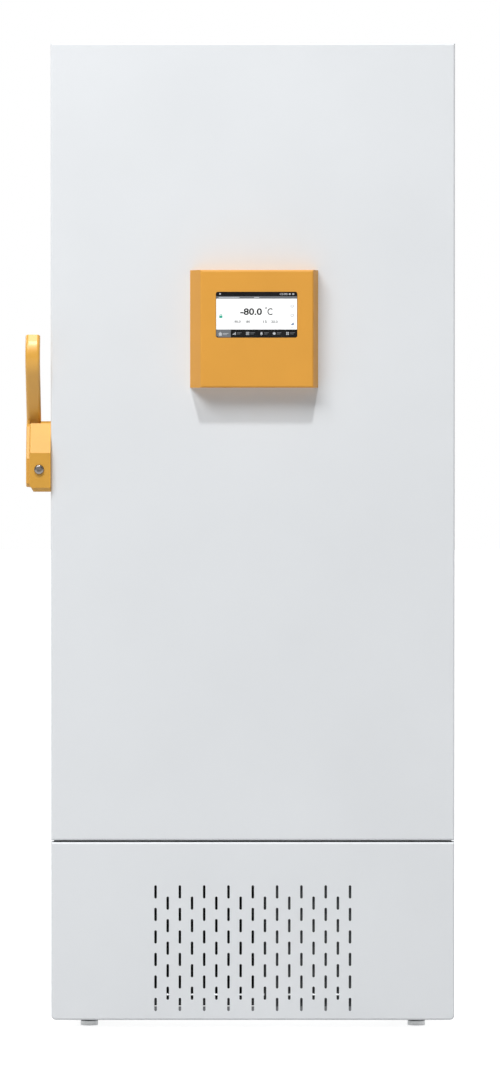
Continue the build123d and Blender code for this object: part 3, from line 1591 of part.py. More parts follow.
finished = {
    "cabinet_shell": cabinet_shell,
    "rear_panel": rear_panel,
    "cabinet_foam": cabinet_foam,
    "chamber_liner": chamber_liner,
    "breaker_frame": breaker_frame,
    "evaporator_coil": evaporator_coil,
    "shelf_pilasters": shelf_pilasters,
    "shelves": shelves,
    "hinge_cabinet_leaves": hinge_cabinet_leaves,
    "hinge_pins": hinge_pins,
    "inner_hinge_brackets": inner_hinge_brackets,
    "striker": striker,
    "panel_hinge_pins": panel_hinge_pins,
    "base_pan": base_pan,
    "base_frame": base_frame,
    "side_covers": side_covers,
    "rear_grille": rear_grille,
    "power_inlet": power_inlet,
    "condenser": condenser,
    "fan_shroud": fan_shroud,
    "fan_motor": fan_motor,
    "compressors": compressors,
    "compressor_mounts": compressor_mounts,
    "heat_exchanger": heat_exchanger,
    "refrigerant_lines": refrigerant_lines,
    "control_box": control_box,
    "caster_plates": caster_plates,
    "door_skin": door_skin,
    "door_foam": door_foam,
    "door_liner": door_liner,
    "door_gasket": door_gasket,
    "hinge_door_leaves": hinge_door_leaves,
    "display_housing": display_housing,
    "touch_screen": touch_screen,
    "handle_bracket": handle_bracket,
    "handle_screw": handle_screw,
    "lever_pin": lever_pin,
    "handle_lever": handle_lever,
    "latch_hook": latch_hook,
    "grille_panel": grille_panel,
    "air_filter": air_filter,
    "fan_blades": fan_blades,
    "access_port_plug": access_port_plug,
    "power_rocker": power_rocker,
}
for name, piece in finished.items():
    piece.part.label = name
    export_step(piece.part, f"parts/{name}.step")
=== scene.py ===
import math

import bmesh
import bpy
from bpy.props import FloatProperty, FloatVectorProperty, PointerProperty
from mathutils import Matrix, Vector


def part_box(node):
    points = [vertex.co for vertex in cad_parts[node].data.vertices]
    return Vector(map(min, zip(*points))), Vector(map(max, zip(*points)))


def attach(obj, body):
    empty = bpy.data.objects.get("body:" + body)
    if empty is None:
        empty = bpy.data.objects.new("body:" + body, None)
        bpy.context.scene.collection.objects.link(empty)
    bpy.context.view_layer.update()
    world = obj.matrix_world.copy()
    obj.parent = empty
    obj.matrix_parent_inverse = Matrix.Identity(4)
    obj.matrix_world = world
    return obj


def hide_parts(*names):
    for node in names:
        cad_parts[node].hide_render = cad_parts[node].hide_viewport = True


bl_info = {
    "name": "Ultra Low Temperature Freezer",
    "version": (1, 0, 0),
    "blender": (4, 5, 0),
    "location": "View3D > Sidebar > Freezer",
    "description": "Finishes and fine parts of an upright laboratory freezer on its packed frame",
    "category": "Add Mesh",
}

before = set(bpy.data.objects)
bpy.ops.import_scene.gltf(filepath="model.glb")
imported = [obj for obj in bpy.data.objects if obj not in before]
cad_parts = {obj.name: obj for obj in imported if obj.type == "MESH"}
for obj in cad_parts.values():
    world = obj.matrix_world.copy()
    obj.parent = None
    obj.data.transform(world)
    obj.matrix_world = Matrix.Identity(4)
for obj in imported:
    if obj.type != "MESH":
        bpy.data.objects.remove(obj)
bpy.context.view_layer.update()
MM = 0.001

# The photograph's frame, and the size that one of its pixels has at the door
PHOTO_WIDTH = 500
PHOTO_HEIGHT = 1077
PHOTO_SCALE = 1.931 * MM
PHOTO_DOOR_CENTRE = 252.8
PHOTO_FLOOR = 1021
SKIRT_CLEARANCE = 16 * MM


def srgb(code):
    """A linear colour from an sRGB hex code."""
    parts = [int(code[i : i + 2], 16) / 255 for i in (0, 2, 4)]
    return tuple(p / 12.92 if p <= 0.04045 else ((p + 0.055) / 1.055) ** 2.4 for p in parts)


def rgba(colour):
    """A colour with full opacity."""
    return (*colour[:3], 1.0)


# Node trees


def add_node(tree, kind, values=None, links=None):
    """Adds a shader node, sets its options and sockets, by name or number, and links inputs."""
    made = tree.nodes.new("ShaderNode" + kind)
    for name, value in (values or {}).items():
        if isinstance(name, int) or name in made.inputs:
            made.inputs[name].default_value = value
        else:
            setattr(made, name, value)
    for name, source in (links or {}).items():
        tree.links.new(source, made.inputs[name])
    return made


def seen_directly(tree, other_ray):
    """One for a ray from the camera and for one other kind of ray, else nought."""
    path = add_node(tree, "LightPath")
    rays = {0: path.outputs["Is Camera Ray"], 1: path.outputs[other_ray]}
    return add_node(tree, "Math", {"operation": "MAXIMUM"}, rays).outputs[0]


def shade(colour, factor):
    """A colour made lighter or darker."""
    return tuple(min(1.0, part * factor) for part in colour[:3])


def textured(
    name, colour, texture, shades, roughness, relief_mm=0.0, drift_mm=0, stretch=None, **sockets
):
    """A material whose tone, roughness and relief follow one texture. The texture is a node's
    kind, the output that is read, and the real size of its features in millimetres. A drift
    gives the tone a broader texture of its own. Uniform numbers stand on the shader's sockets."""
    material = bpy.data.materials.new(name)
    material.use_nodes = True
    tree = material.node_tree
    shader = tree.nodes["Principled BSDF"]
    for socket, value in sockets.items():
        shader.inputs[socket.replace("_", " ")].default_value = value
    kind, output, size_mm = texture
    place = {"Vector": add_node(tree, "TexCoord").outputs["Object"]}
    laid = add_node(tree, "Mapping", {"Scale": stretch or (1.0, 1.0, 1.0)}, place)
    on_surface = {"Vector": laid.outputs["Vector"]}
    pattern = add_node(tree, kind, {"Scale": 1 / (size_mm * MM)}, on_surface).outputs[output]
    tone = pattern
    if drift_mm:
        tone = add_node(tree, "TexNoise", {"Scale": 1 / (drift_mm * MM)}, on_surface).outputs["Fac"]
    ramp = add_node(tree, "ValToRGB", links={"Fac": tone})
    for element, position, factor in zip(ramp.color_ramp.elements, RAMP_ENDS, shades):
        element.position = position
        element.color = rgba(shade(colour, factor))
    tree.links.new(ramp.outputs["Color"], shader.inputs["Base Color"])
    span = {"To Min": roughness[0], "To Max": roughness[1]}
    gloss = add_node(tree, "MapRange", span, {"Value": pattern})
    tree.links.new(gloss.outputs["Result"], shader.inputs["Roughness"])
    if relief_mm:
        bump = add_node(tree, "Bump", {"Distance": relief_mm * MM}, {"Height": pattern})
        tree.links.new(bump.outputs["Normal"], shader.inputs["Normal"])
    return material


# Where on a texture's range the darker and the lighter shade stand
RAMP_ENDS = (0.3, 0.7)

# Textures: kind, output and feature size in millimetres
PEEL = ("TexNoise", "Fac", 7)
GRAIN = ("TexNoise", "Fac", 1.6)
FLAKE = ("TexNoise", "Fac", 2.4)
WAVE = ("TexNoise", "Fac", 45)
CLOUD = ("TexNoise", "Fac", 9)
SCRATCH = ("TexNoise", "Fac", 60)
SPANGLE = ("TexVoronoi", "Color", 14)
CELLS = ("TexVoronoi", "Distance", 3)
PORES = ("TexVoronoi", "Distance", 2.6)
OXIDE = ("TexNoise", "Fac", 22)
RUNS = ("TexNoise", "Fac", 30)
GREASE = ("TexNoise", "Fac", 25)
PIXELS = ("TexNoise", "Fac", 0.6)


# Finishes, each named for the real material and how it was made


def powder_coated_steel(name, colour, gloss=(0.38, 0.5)):
    """Baked powder on sheet steel: a satin skin with orange peel. The real peel is 1 to 2 mm
    across and is drawn at 7 mm, so that it shows."""
    return textured(name, colour, PEEL, (0.985, 1.015), gloss, 0.02, 260, IOR=1.5)


def lacquered_die_casting(name, colour, coat):
    """Gold lacquer over a zinc die casting: warm, slightly metallic, with a soft clear coat."""
    return textured(
        name, colour, FLAKE, (0.96, 1.04), (0.3, 0.42), 0.008, 60,
        Metallic=0.05, Specular_IOR_Level=0.35, Coat_Weight=coat, Coat_Roughness=0.3,
    )


def painted_abs(name, colour):
    """Injection-moulded ABS with a satin gold paint and a fine spark-eroded grain."""
    return textured(name, colour, GRAIN, (0.975, 1.025), (0.44, 0.56), 0.012, 120, IOR=1.5)


def thermoformed_plastic(name, colour):
    """Vacuum-formed white polystyrene: a smooth skin with a long, faint waviness."""
    return textured(name, colour, WAVE, (0.98, 1.01), (0.3, 0.44), 0.1, IOR=1.55)


def moulded_plastic(name, colour, gloss=(0.42, 0.58)):
    """Injection-moulded nylon or ABS: an even colour with a light grain."""
    return textured(name, colour, GRAIN, (0.92, 1.08), gloss, 0.02, IOR=1.5)


def cast_polyurethane(name, colour):
    """Cast tyre of a caster wheel: dull and slightly blotched with dust."""
    return textured(name, colour, CLOUD, (0.88, 1.1), (0.55, 0.75), 0.03, IOR=1.5)


def galvanised_sheet(name, colour):
    """Hot-dip zinc on steel: crystal spangles of slightly different greys and gloss."""
    return textured(name, colour, SPANGLE, (0.93, 1.05), (0.34, 0.56), Metallic=0.85)


def brushed_stainless(name, colour, stretch=(1.0, 60.0, 60.0)):
    """Belt-ground stainless sheet: fine parallel scratches. They are drawn 1 mm wide and 60 mm
    long, coarser than real ones, so that they show."""
    return textured(
        name, colour, SCRATCH, (0.9, 1.07), (0.24, 0.38), 0.004, stretch=stretch,
        Metallic=1.0, Anisotropic=0.5,
    )


def zinc_plated_steel(name, colour):
    """Bright zinc on turned and pressed steel, a little cloudy from passivation."""
    return textured(name, colour, CLOUD, (0.86, 1.08), (0.26, 0.42), Metallic=1.0)


def foamed_polyurethane(name, colour):
    """Poured rigid foam: pale straw with a closed skin over small cells."""
    return textured(name, colour, CELLS, (0.85, 1.05), (0.8, 0.9), 0.6)


def extruded_rubber(name, colour, gloss=(0.52, 0.68)):
    """Extruded soft PVC or rubber: matt, with faint dust in it."""
    return textured(
        name, colour, CLOUD, (0.9, 1.1), gloss, 0.03, Sheen_Weight=0.15, Sheen_Roughness=0.5
    )


def drawn_copper(name, colour):
    """Drawn copper tube, dulled by handling: warm metal with brown clouds."""
    return textured(name, colour, OXIDE, (0.65, 1.1), (0.28, 0.5), Metallic=1.0)


def dipped_enamel(name, colour):
    """Thick black enamel dipped over a pressed shell: glossy, with slow runs."""
    return textured(
        name, colour, RUNS, (0.8, 1.3), (0.25, 0.36), 0.1, stretch=(1.0, 1.0, 0.3),
        IOR=1.5, Coat_Weight=0.3,
    )


def open_cell_foam(name, colour):
    """Reticulated filter foam: dark, with pores. The real 1 mm pores are drawn 2.6 mm wide."""
    return textured(name, colour, PORES, (0.3, 1.6), (0.9, 1.0), 1.2)


def toughened_glass(name, colour):
    """Black-backed float glass of the touch screen: very smooth, with faint finger grease."""
    return textured(name, colour, GREASE, (0.9, 1.1), (0.08, 0.2), IOR=1.52)


def lit_pixels(name, colour, glow):
    """A lit area of the display behind its glass: even, with cells drawn 0.6 mm wide."""
    return textured(
        name, colour, PIXELS, (0.97, 1.0), (0.25, 0.35),
        IOR=1.5, Emission_Color=rgba(colour), Emission_Strength=glow,
    )


# Mesh building


def finish_mesh(name, bm, material, body, smooth=40.0):
    """Turns a bmesh into a piece that rides on a body and takes the finish of a slot."""
    bmesh.ops.recalc_face_normals(bm, faces=bm.faces)
    mesh = bpy.data.meshes.new(name)
    bm.to_mesh(mesh)
    bm.free()
    mesh.materials.append(material)
    mesh.shade_smooth()
    mesh.set_sharp_from_angle(angle=math.radians(smooth))
    piece = bpy.data.objects.new(name, mesh)
    bpy.context.collection.objects.link(piece)
    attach(piece, body)
    return piece


def add_prism(bm, outline, start, end, plane="XZ"):
    """Adds a closed prism of an outline in a plane, from start to end along the third axis."""
    place = {
        "XZ": lambda a, b, c: (a, c, b),
        "YZ": lambda a, b, c: (c, a, b),
        "XY": lambda a, b, c: (a, b, c),
    }[plane]
    near = [bm.verts.new(place(a, b, start)) for a, b in outline]
    far = [bm.verts.new(place(a, b, end)) for a, b in outline]
    count = len(outline)
    bm.faces.new(near)
    bm.faces.new(far)
    for i in range(count):
        j = (i + 1) % count
        bm.faces.new((near[i], near[j], far[j], far[i]))


def rounded_outline(centre, width, height, radius, steps=6):
    """The outline of a rectangle with round corners."""
    points = []
    for k, (sx, sy) in enumerate(((1, 1), (-1, 1), (-1, -1), (1, -1))):
        cx = centre[0] + sx * (width / 2 - radius)
        cy = centre[1] + sy * (height / 2 - radius)
        for i in range(steps + 1):
            angle = math.pi / 2 * (k + i / steps)
            points.append((cx + radius * math.cos(angle), cy + radius * math.sin(angle)))
    return points


def circle_outline(centre, radius, steps=24):
    """The outline of a circle."""
    turns = [2 * math.pi * i / steps for i in range(steps)]
    return [(centre[0] + radius * math.cos(t), centre[1] + radius * math.sin(t)) for t in turns]


def spread(low, high, count):
    """Even steps from one value to another, both included."""
    return [low + i * (high - low) / (count - 1) for i in range(count)]


def close_rings(bm, rings):
    """Joins rings of points into a skin and closes its two ends."""
    bm.faces.new(rings[0])
    bm.faces.new(rings[-1])
    for low, high in zip(rings, rings[1:]):
        for i in range(len(low)):
            j = (i + 1) % len(low)
            bm.faces.new((low[i], low[j], high[j], high[i]))


def add_lathe(bm, profile, matrix, steps=32):
    """Adds a closed turned form: profile points are (radius, height) from axis to axis."""
    rings = []
    for radius, height in profile:
        circle = circle_outline((0, 0), radius, steps) if radius > 0 else [(0, 0)]
        rings.append([bm.verts.new(matrix @ Vector((x, y, height))) for x, y in circle])
    for low, high in zip(rings, rings[1:]):
        for i in range(steps):
            j = (i + 1) % steps
            corners = [low[i % len(low)], low[j % len(low)]]
            corners += [high[j % len(high)], high[i % len(high)]]
            corners = list(dict.fromkeys(corners))
            if len(corners) > 2:
                bm.faces.new(corners)


def axis_matrix(place, direction):
    """A matrix that stands the Z axis along a direction at a place."""
    turn = Vector(direction).to_track_quat("Z", "Y")
    return Matrix.Translation(Vector(place)) @ turn.to_matrix().to_4x4()


def add_loop_strip(bm, loops):
    """Joins closed loops of equal length into a closed ring surface."""
    rows = [[bm.verts.new(p) for p in loop] for loop in loops]
    for near, far in zip(rows, rows[1:] + rows[:1]):
        for i in range(len(near)):
            j = (i + 1) % len(near)
            bm.faces.new((near[i], near[j], far[j], far[i]))


# Half section of a pan head for a radius of one, from the root's axis to the recess's
PAN_HEAD = (
    (0, -0.4), (0.5, -0.4), (1, 0), (0.98, 0.279), (0.8, 0.527), (0.45, 0.62), (0.3, 0.589),
    (0.22, 0.279), (0, 0.217),
)
# Hexagon head for a radius of one: its washer's radius and thickness, its height and chamfer
HEX_WASHER = (1.35, 0.2)
HEX_HEIGHT = 0.75
HEX_CHAMFER = 0.12


def add_pan_head(bm, place, direction, radius):
    """Adds a pan-head screw with a round drive recess and a short root below its seat."""
    profile = [(radius * reach, radius * height) for reach, height in PAN_HEAD]
    add_lathe(bm, profile, axis_matrix(place, direction), 16)


def add_hex_head(bm, place, direction, radius):
    """Adds a hexagon bolt head on a washer."""
    matrix = axis_matrix(place, direction)
    washer, base = (radius * part for part in HEX_WASHER)
    add_lathe(bm, [(0, 0), (washer, 0), (washer, base), (0, base)], matrix, 20)
    top = base + radius * HEX_HEIGHT
    chamfer = radius * HEX_CHAMFER
    rings = []
    for reach, height in ((radius, base), (radius, top - chamfer), (radius - chamfer, top)):
        corners = circle_outline((0, 0), reach, 6)
        rings.append([bm.verts.new(matrix @ Vector((x, y, height))) for x, y in corners])
    close_rings(bm, rings)


def add_tube(bm, points, radius, steps=10):
    """Adds a round tube along a list of points."""
    points = [Vector(p) for p in points]
    circle = circle_outline((0, 0), radius, steps)
    rings = []
    for i, at in enumerate(points):
        ahead = points[min(i + 1, len(points) - 1)] - points[max(i - 1, 0)]
        turn = ahead.to_track_quat("Z", "Y")
        rings.append([bm.verts.new(at + turn @ Vector((x, y, 0))) for x, y in circle])
    close_rings(bm, rings)


def ring_points(centre, radius, axis, steps=28):
    """Points of a circle round an axis, the first one repeated at the end."""
    matrix = axis_matrix(centre, axis)
    points = [matrix @ Vector((x, y, 0)) for x, y in circle_outline((0, 0), radius, steps)]
    return points + points[:1]


def add_figures(bm, words, box, front, thickness, weight):
    """Adds raised figures that fill a box in the front plane: left, right, low, high."""
    curve = bpy.data.curves.new("figures", "FONT")
    curve.body = words
    curve.extrude = 0.01
    curve.offset = weight
    curve.resolution_u = 4
    holder = bpy.data.objects.new("figures", curve)
    bpy.context.collection.objects.link(holder)
    bpy.context.view_layer.update()
    depsgraph = bpy.context.evaluated_depsgraph_get()
    mesh = bpy.data.meshes.new_from_object(holder.evaluated_get(depsgraph))
    bpy.data.objects.remove(holder)
    xs = [v.co.x for v in mesh.vertices]
    zs = [v.co.y for v in mesh.vertices]
    left, right, low, high = box
    for v in mesh.vertices:
        across = (v.co.x - min(xs)) / (max(xs) - min(xs))
        up = (v.co.y - min(zs)) / (max(zs) - min(zs))
        out = thickness if v.co.z > 0 else 0
        v.co = (left + across * (right - left), front - out, low + up * (high - low))
    bm.from_mesh(mesh)
    bpy.data.meshes.remove(mesh)


# Settings


class FreezerFinish(bpy.types.PropertyGroup):
    """Colours of the freezer's finishes."""

    enamel: FloatVectorProperty(
        name="Enamel",
        description="Powder coat of the door, cabinet and lower panel",
        subtype="COLOR",
        size=3,
        min=0,
        max=1,
        default=srgb("e2e5e8"),
    )
    gold: FloatVectorProperty(
        name="Gold lacquer",
        description="Lever and hood",
        subtype="COLOR",
        size=3,
        min=0,
        max=1,
        default=srgb("e0a743"),
    )
    housing: FloatVectorProperty(
        name="Housing gold",
        description="Painted housing of the display",
        subtype="COLOR",
        size=3,
        min=0,
        max=1,
        default=srgb("de9d38"),
    )
    plastic: FloatVectorProperty(
        name="White plastic",
        description="Inner doors, liner and breaker frame",
        subtype="COLOR",
        size=3,
        min=0,
        max=1,
        default=srgb("e6e6e3"),
    )
    gasket: FloatVectorProperty(
        name="Gasket",
        description="Door seals",
        subtype="COLOR",
        size=3,
        min=0,
        max=1,
        default=srgb("8f9294"),
    )


class FreezerSizes(bpy.types.PropertyGroup):
    """Sizes of the fine parts."""

    screen_rim: FloatProperty(
        name="Screen rim",
        description="Width of the screen module's rim behind the housing wall",
        default=6 * MM,
        unit="LENGTH",
    )
    picture_layer: FloatProperty(
        name="Picture layer",
        description="Thickness of one layer of the display's picture on the glass",
        default=0.1 * MM,
        unit="LENGTH",
    )
    fin_pitch: FloatProperty(
        name="Fin pitch",
        description="Distance between condenser fins, wider than real fins so that they show",
        default=6 * MM,
        unit="LENGTH",
    )
    pleat_pitch: FloatProperty(
        name="Pleat pitch",
        description="Distance between the filter's pleats",
        default=9 * MM,
        unit="LENGTH",
    )
    cover_screw: FloatProperty(
        name="Cover screw radius",
        description="Head radius of the sheet-metal screws",
        default=4.5 * MM,
        unit="LENGTH",
    )
    louvre_lift: FloatProperty(
        name="Louvre lift",
        description="How far a louvre stands out of its cover",
        default=4 * MM,
        unit="LENGTH",
    )


class FreezerStage(bpy.types.PropertyGroup):
    """Camera and lights."""

    distance: FloatProperty(
        name="Camera distance", description="From the camera to the door", default=12.0, unit="LENGTH"
    )
    height: FloatProperty(
        name="Camera height", description="Above the floor", default=1.2, unit="LENGTH"
    )
    key: FloatProperty(name="Key light", description="Strength of the sun lamp", default=1.6)
    fill: FloatProperty(name="Fill light", description="Power of the soft box", default=160.0)
    side: FloatProperty(
        name="Side lights", description="Strength of the lamps behind the sides", default=0.9
    )
    ambient: FloatProperty(name="Ambient", description="Strength of the world", default=0.198)


# Pieces


class FREEZER_OT_cad_finishes(bpy.types.Operator):
    """Gives every carried-over part its real finish"""

    bl_idname = "freezer.cad_finishes"
    bl_label = "Finish the frame's parts"

    def execute(self, context):
        finish = context.scene.freezer_finish
        enamel = powder_coated_steel("white_powder_coated_steel", finish.enamel)
        gold = lacquered_die_casting("gold_lacquered_die_casting", finish.gold, 0.45)
        satin = lacquered_die_casting("satin_gold_die_casting", shade(finish.gold, 0.92), 0.05)
        housing = painted_abs("gold_painted_abs", finish.housing)
        plastic = thermoformed_plastic("white_thermoformed_polystyrene", finish.plastic)
        gasket = extruded_rubber("grey_extruded_pvc", finish.gasket)
        galvanised = galvanised_sheet("galvanised_sheet", srgb("b4b7ba"))
        stainless = brushed_stainless("brushed_stainless", srgb("c8cacb"))
        zinc = zinc_plated_steel("zinc_plated_steel", srgb("c3c5c6"))
        burnished = zinc_plated_steel("burnished_steel_screw", srgb("8a8582"))
        foam = foamed_polyurethane("poured_polyurethane_foam", srgb("dccf9c"))
        glass = toughened_glass("black_backed_glass", srgb("0c0d0f"))
        copper = drawn_copper("drawn_copper", srgb("c98460"))
        aluminium = brushed_stainless("extruded_aluminium", srgb("c4c6c9"))
        shell = dipped_enamel("black_dipped_enamel", srgb("16171a"))
        rubber = extruded_rubber("black_rubber", srgb("1b1c1e"))
        jacket = extruded_rubber("black_elastomeric_jacket", srgb("222326"), (0.78, 0.9))
        filter_foam = open_cell_foam("black_filter_foam", srgb("1d1e20"))
        tyre = cast_polyurethane("grey_cast_polyurethane", srgb("5f6367"))
        grey = powder_coated_steel("grey_powder_coated_steel", srgb("6b6d70"))
        black = moulded_plastic("black_moulded_nylon", srgb("17181a"))
        silicone = extruded_rubber("grey_silicone", srgb("8b8e90"), (0.42, 0.58))
        finishes = {
            enamel: "cabinet_shell door_skin grille_panel side_covers",
            gold: "handle_lever",
            satin: "handle_bracket",
            housing: "display_housing",
            plastic: "breaker_frame door_liner inner_door_upper inner_door_lower",
            gasket: "door_gasket inner_door_gasket_upper inner_door_gasket_lower",
            galvanised: "rear_panel base_pan base_frame rear_grille fan_shroud caster_plates",
            stainless: "chamber_liner shelves shelf_pilasters inner_hinge_brackets",
            burnished: "handle_screw",
            zinc: "hinge_cabinet_leaves hinge_pins hinge_door_leaves striker panel_hinge_pins"
            " lever_pin latch_hook levelling_foot_left levelling_foot_right"
            " caster_fork_front_left caster_fork_front_right"
            " caster_fork_back_left caster_fork_back_right",
            foam: "cabinet_foam door_foam",
            glass: "touch_screen",
            copper: "evaporator_coil refrigerant_lines",
            aluminium: "condenser",
            shell: "compressors fan_motor",
            rubber: "compressor_mounts",
            jacket: "heat_exchanger",
            filter_foam: "air_filter",
            grey: "control_box",
            black: "fan_blades power_rocker power_inlet",
            tyre: "caster_wheel_front_left caster_wheel_front_right caster_wheel_back_left"
            " caster_wheel_back_right",
            silicone: "access_port_plug",
        }
        for material, nodes in finishes.items():
            for node in nodes.split():
                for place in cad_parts[node].material_slots:
                    place.link = "OBJECT"
                    place.material = material
        missing = set(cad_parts) - set(" ".join(finishes.values()).split())
        if missing:
            raise RuntimeError(f"no finish for {sorted(missing)}")
        return {"FINISHED"}


# The screen's picture, in millimetres from the screen's top left corner. Each shape starts with
# its tone and layer. Bars go on with left, right, top, bottom and corner, discs with centre and
# radius, outlines with their points. Figures are tone, text, left, right, top, bottom and weight.
SCREEN_BARS = (
    ("mid_grey", 1, 0.4, 155.6, 8.4, 13.0, 0.2),
    ("pale_grey", 2, 5.0, 45.0, 9.9, 11.5, 0.5),
    ("pale_grey", 2, 73.0, 83.0, 9.9, 11.5, 0.5),
    ("white", 1, 0.4, 155.6, 13.0, 72.2, 0.2),
    ("mid_grey", 1, 0.4, 28.3, 72.2, 85.2, 0.2),
    ("mid_grey", 1, 3.5, 28.3, 85.2, 87.2, 0.2),
    ("pale_grey", 2, 143.2, 149.4, 24.6, 29.8, 1.2),
    ("white", 3, 144.4, 148.2, 25.8, 28.6, 0.8),
    ("pale_grey", 2, 143.2, 149.4, 42.4, 47.6, 1.2),
    ("white", 3, 144.4, 148.2, 43.6, 46.4, 0.8),
    ("faint_grey", 2, 144.0, 148.6, 68.0, 69.2, 0.4),
    ("teal", 2, 6.1, 12.3, 45.4, 50.2, 0.7),
    ("pale_grey", 2, 13.0, 23.8, 79.3, 80.3, 0.3),
    ("pale_grey", 2, 13.0, 21.0, 81.7, 82.5, 0.3),
    ("pale_grey", 1, 140.0, 143.4, 2.6, 5.6, 0.4),
    ("pale_grey", 1, 146.6, 150.2, 2.8, 5.4, 0.6),
)
SCREEN_DISCS = (
    ("black", 2, (96.3, 31.2), 1.9),
    ("white", 3, (96.3, 31.2), 1.0),
    ("pale_grey", 1, (7.7, 3.8), 1.7),
)
HOUSE = (
    (4.2, 80.6), (8.2, 76.8), (12.2, 80.6), (11.0, 80.6), (11.0, 84.2), (5.4, 84.2), (5.4, 80.6),
)
RISING_WEDGE = ((143.0, 63.6), (149.4, 63.6), (149.4, 58.4))
SHACKLE = (
    (6.9, 45.4), (6.9, 43.4), (8.0, 42.2), (10.4, 42.2), (11.5, 43.4), (11.5, 45.4),
    (10.5, 45.4), (10.5, 43.9), (9.9, 43.2), (8.5, 43.2), (7.9, 43.9), (7.9, 45.4),
)
SCREEN_OUTLINES = (
    ("slate_blue", 2, RISING_WEDGE),
    ("pale_grey", 2, HOUSE),
    ("teal", 2, SHACKLE),
)
SCREEN_FIGURES = (
    ("black", "-80.0", 46.5, 88.3, 31.4, 44.4, 0.026),
    ("black", "C", 98.8, 108.6, 31.4, 44.4, 0.008),
    ("ink_grey", "-90.0", 32.9, 47.5, 54.8, 59.4, 0.014),
    ("ink_grey", "-80", 55.9, 65.3, 54.8, 59.4, 0.014),
    ("ink_grey", "15", 90.4, 97.7, 54.8, 59.4, 0.014),
    ("ink_grey", "20.0", 106.1, 118.7, 54.8, 59.4, 0.014),
    ("pale_grey", "12:00", 122.9, 137.5, 2.2, 6.0, 0.014),
)
# Tabs along the foot: the middles of their marks, and two short lines beside each mark, given
# by their drop from the marks' line and their length
SCREEN_TABS = (35.0, 60.7, 87.3, 111.8, 137.5)
SCREEN_TAB_LINE = 79.8
TAB_LINES = ((-1.4, 9.0), (1.0, 6.5))
TAB_LINE_START = 5.2
TAB_LINE_HEIGHT = 0.9
BELL = ((-2.8, 2), (-2, 1), (-1.7, -1.4), (-0.8, -2.8), (0.8, -2.8), (1.7, -1.4), (2, 1), (2.8, 2))
# Tone: colour and glow
SCREEN_TONES = {
    "white": ("f2f3f3", 0.3),
    "pale_grey": ("b9bcc0", 0.15),
    "faint_grey": ("c9cbce", 0.2),
    "mid_grey": ("6c6f73", 0.1),
    "ink_grey": ("3c3e41", 0.0),
    "black": ("060607", 0.0),
    "teal": ("3ba48c", 0.2),
    "slate_blue": ("5a7394", 0.2),
}


class FREEZER_OT_display(bpy.types.Operator):
    """Draws the lit picture of the touch screen"""

    bl_idname = "freezer.display"
    bl_label = "Display picture"

    def execute(self, context):
        sizes = context.scene.freezer_sizes
        low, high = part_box("touch_screen")
        self.left = low.x + sizes.screen_rim
        self.top = high.z - sizes.screen_rim
        self.front = low.y
        self.layer = sizes.picture_layer
        self.meshes = {tone: bmesh.new() for tone in SCREEN_TONES}
        for tone, level, left, right, top, bottom, corner in SCREEN_BARS:
            middle = ((left + right) / 2, (top + bottom) / 2)
            self.add_bar(tone, level, middle, right - left, bottom - top, corner, 3)
        for tone, words, left, right, top, bottom, weight in SCREEN_FIGURES:
            x0, z1 = self.on_glass((left, top))
            x1, z0 = self.on_glass((right, bottom))
            box = (x0, x1, z0, z1)
            add_figures(self.meshes[tone], words, box, self.front, 2 * self.layer, weight)
        for tone, level, centre, radius in SCREEN_DISCS:
            self.add_shape(tone, level, circle_outline(centre, radius))
        for tone, level, outline in SCREEN_OUTLINES:
            self.add_shape(tone, level, outline)
        for kind, x in enumerate(SCREEN_TABS):
            self.tab_mark(kind, x, SCREEN_TAB_LINE)
            for drop, length in TAB_LINES:
                middle = (x + TAB_LINE_START + length / 2, SCREEN_TAB_LINE + drop)
                self.add_bar("mid_grey", 1, middle, length, TAB_LINE_HEIGHT, 0.3)
        for tone, bm in self.meshes.items():
            code, glow = SCREEN_TONES[tone]
            colour = lit_pixels("lit_" + tone, srgb(code), glow)
            finish_mesh("screen_" + tone, bm, colour, "door")
        return {"FINISHED"}

    def on_glass(self, point):
        """A point of the picture in the frame's own metres."""
        return self.left + point[0] * MM, self.top - point[1] * MM

    def add_shape(self, tone, level, outline):
        """Adds a flat shape to a tone's mesh, a number of layers proud of the glass."""
        points = [self.on_glass(point) for point in outline]
        add_prism(self.meshes[tone], points, self.front - level * self.layer, self.front)

    def add_bar(self, tone, level, middle, width, height, corner, steps=2):
        """Adds a flat bar with round corners."""
        self.add_shape(tone, level, rounded_outline(middle, width, height, corner, steps))

    def tab_mark(self, kind, x, y):
        """Adds a small generic mark: rising bars, lines, a bell, a wheel or a key pad."""
        if kind == 0:
            for i, tall in enumerate((2.2, 3.8, 5.4)):
                self.add_bar("pale_grey", 1, (x + (i - 1) * 2.2, y + 2.7 - tall / 2), 1.4, tall, 0.2)
        elif kind == 1:
            for i in range(3):
                self.add_bar("pale_grey", 1, (x, y + (i - 1) * 2.2), 6.4, 1.1, 0.3)
        elif kind == 2:
            self.add_shape("pale_grey", 1, [(x + a, y + b) for a, b in BELL])
            self.add_shape("pale_grey", 1, circle_outline((x, y + 2.9), 0.7, 10))
        elif kind == 3:
            teeth = [(3.0 if i % 4 < 2 else 2.2, 2 * math.pi * i / 32) for i in range(32)]
            wheel = [(x + reach * math.cos(t), y + reach * math.sin(t)) for reach, t in teeth]
            self.add_shape("pale_grey", 1, wheel)
        else:
            for i in range(4):
                cell = (x + (i % 2 - 0.5) * 3.0, y + (i // 2 - 0.5) * 3.0)
                self.add_bar("pale_grey", 1, cell, 2.3, 2.3, 0.4)


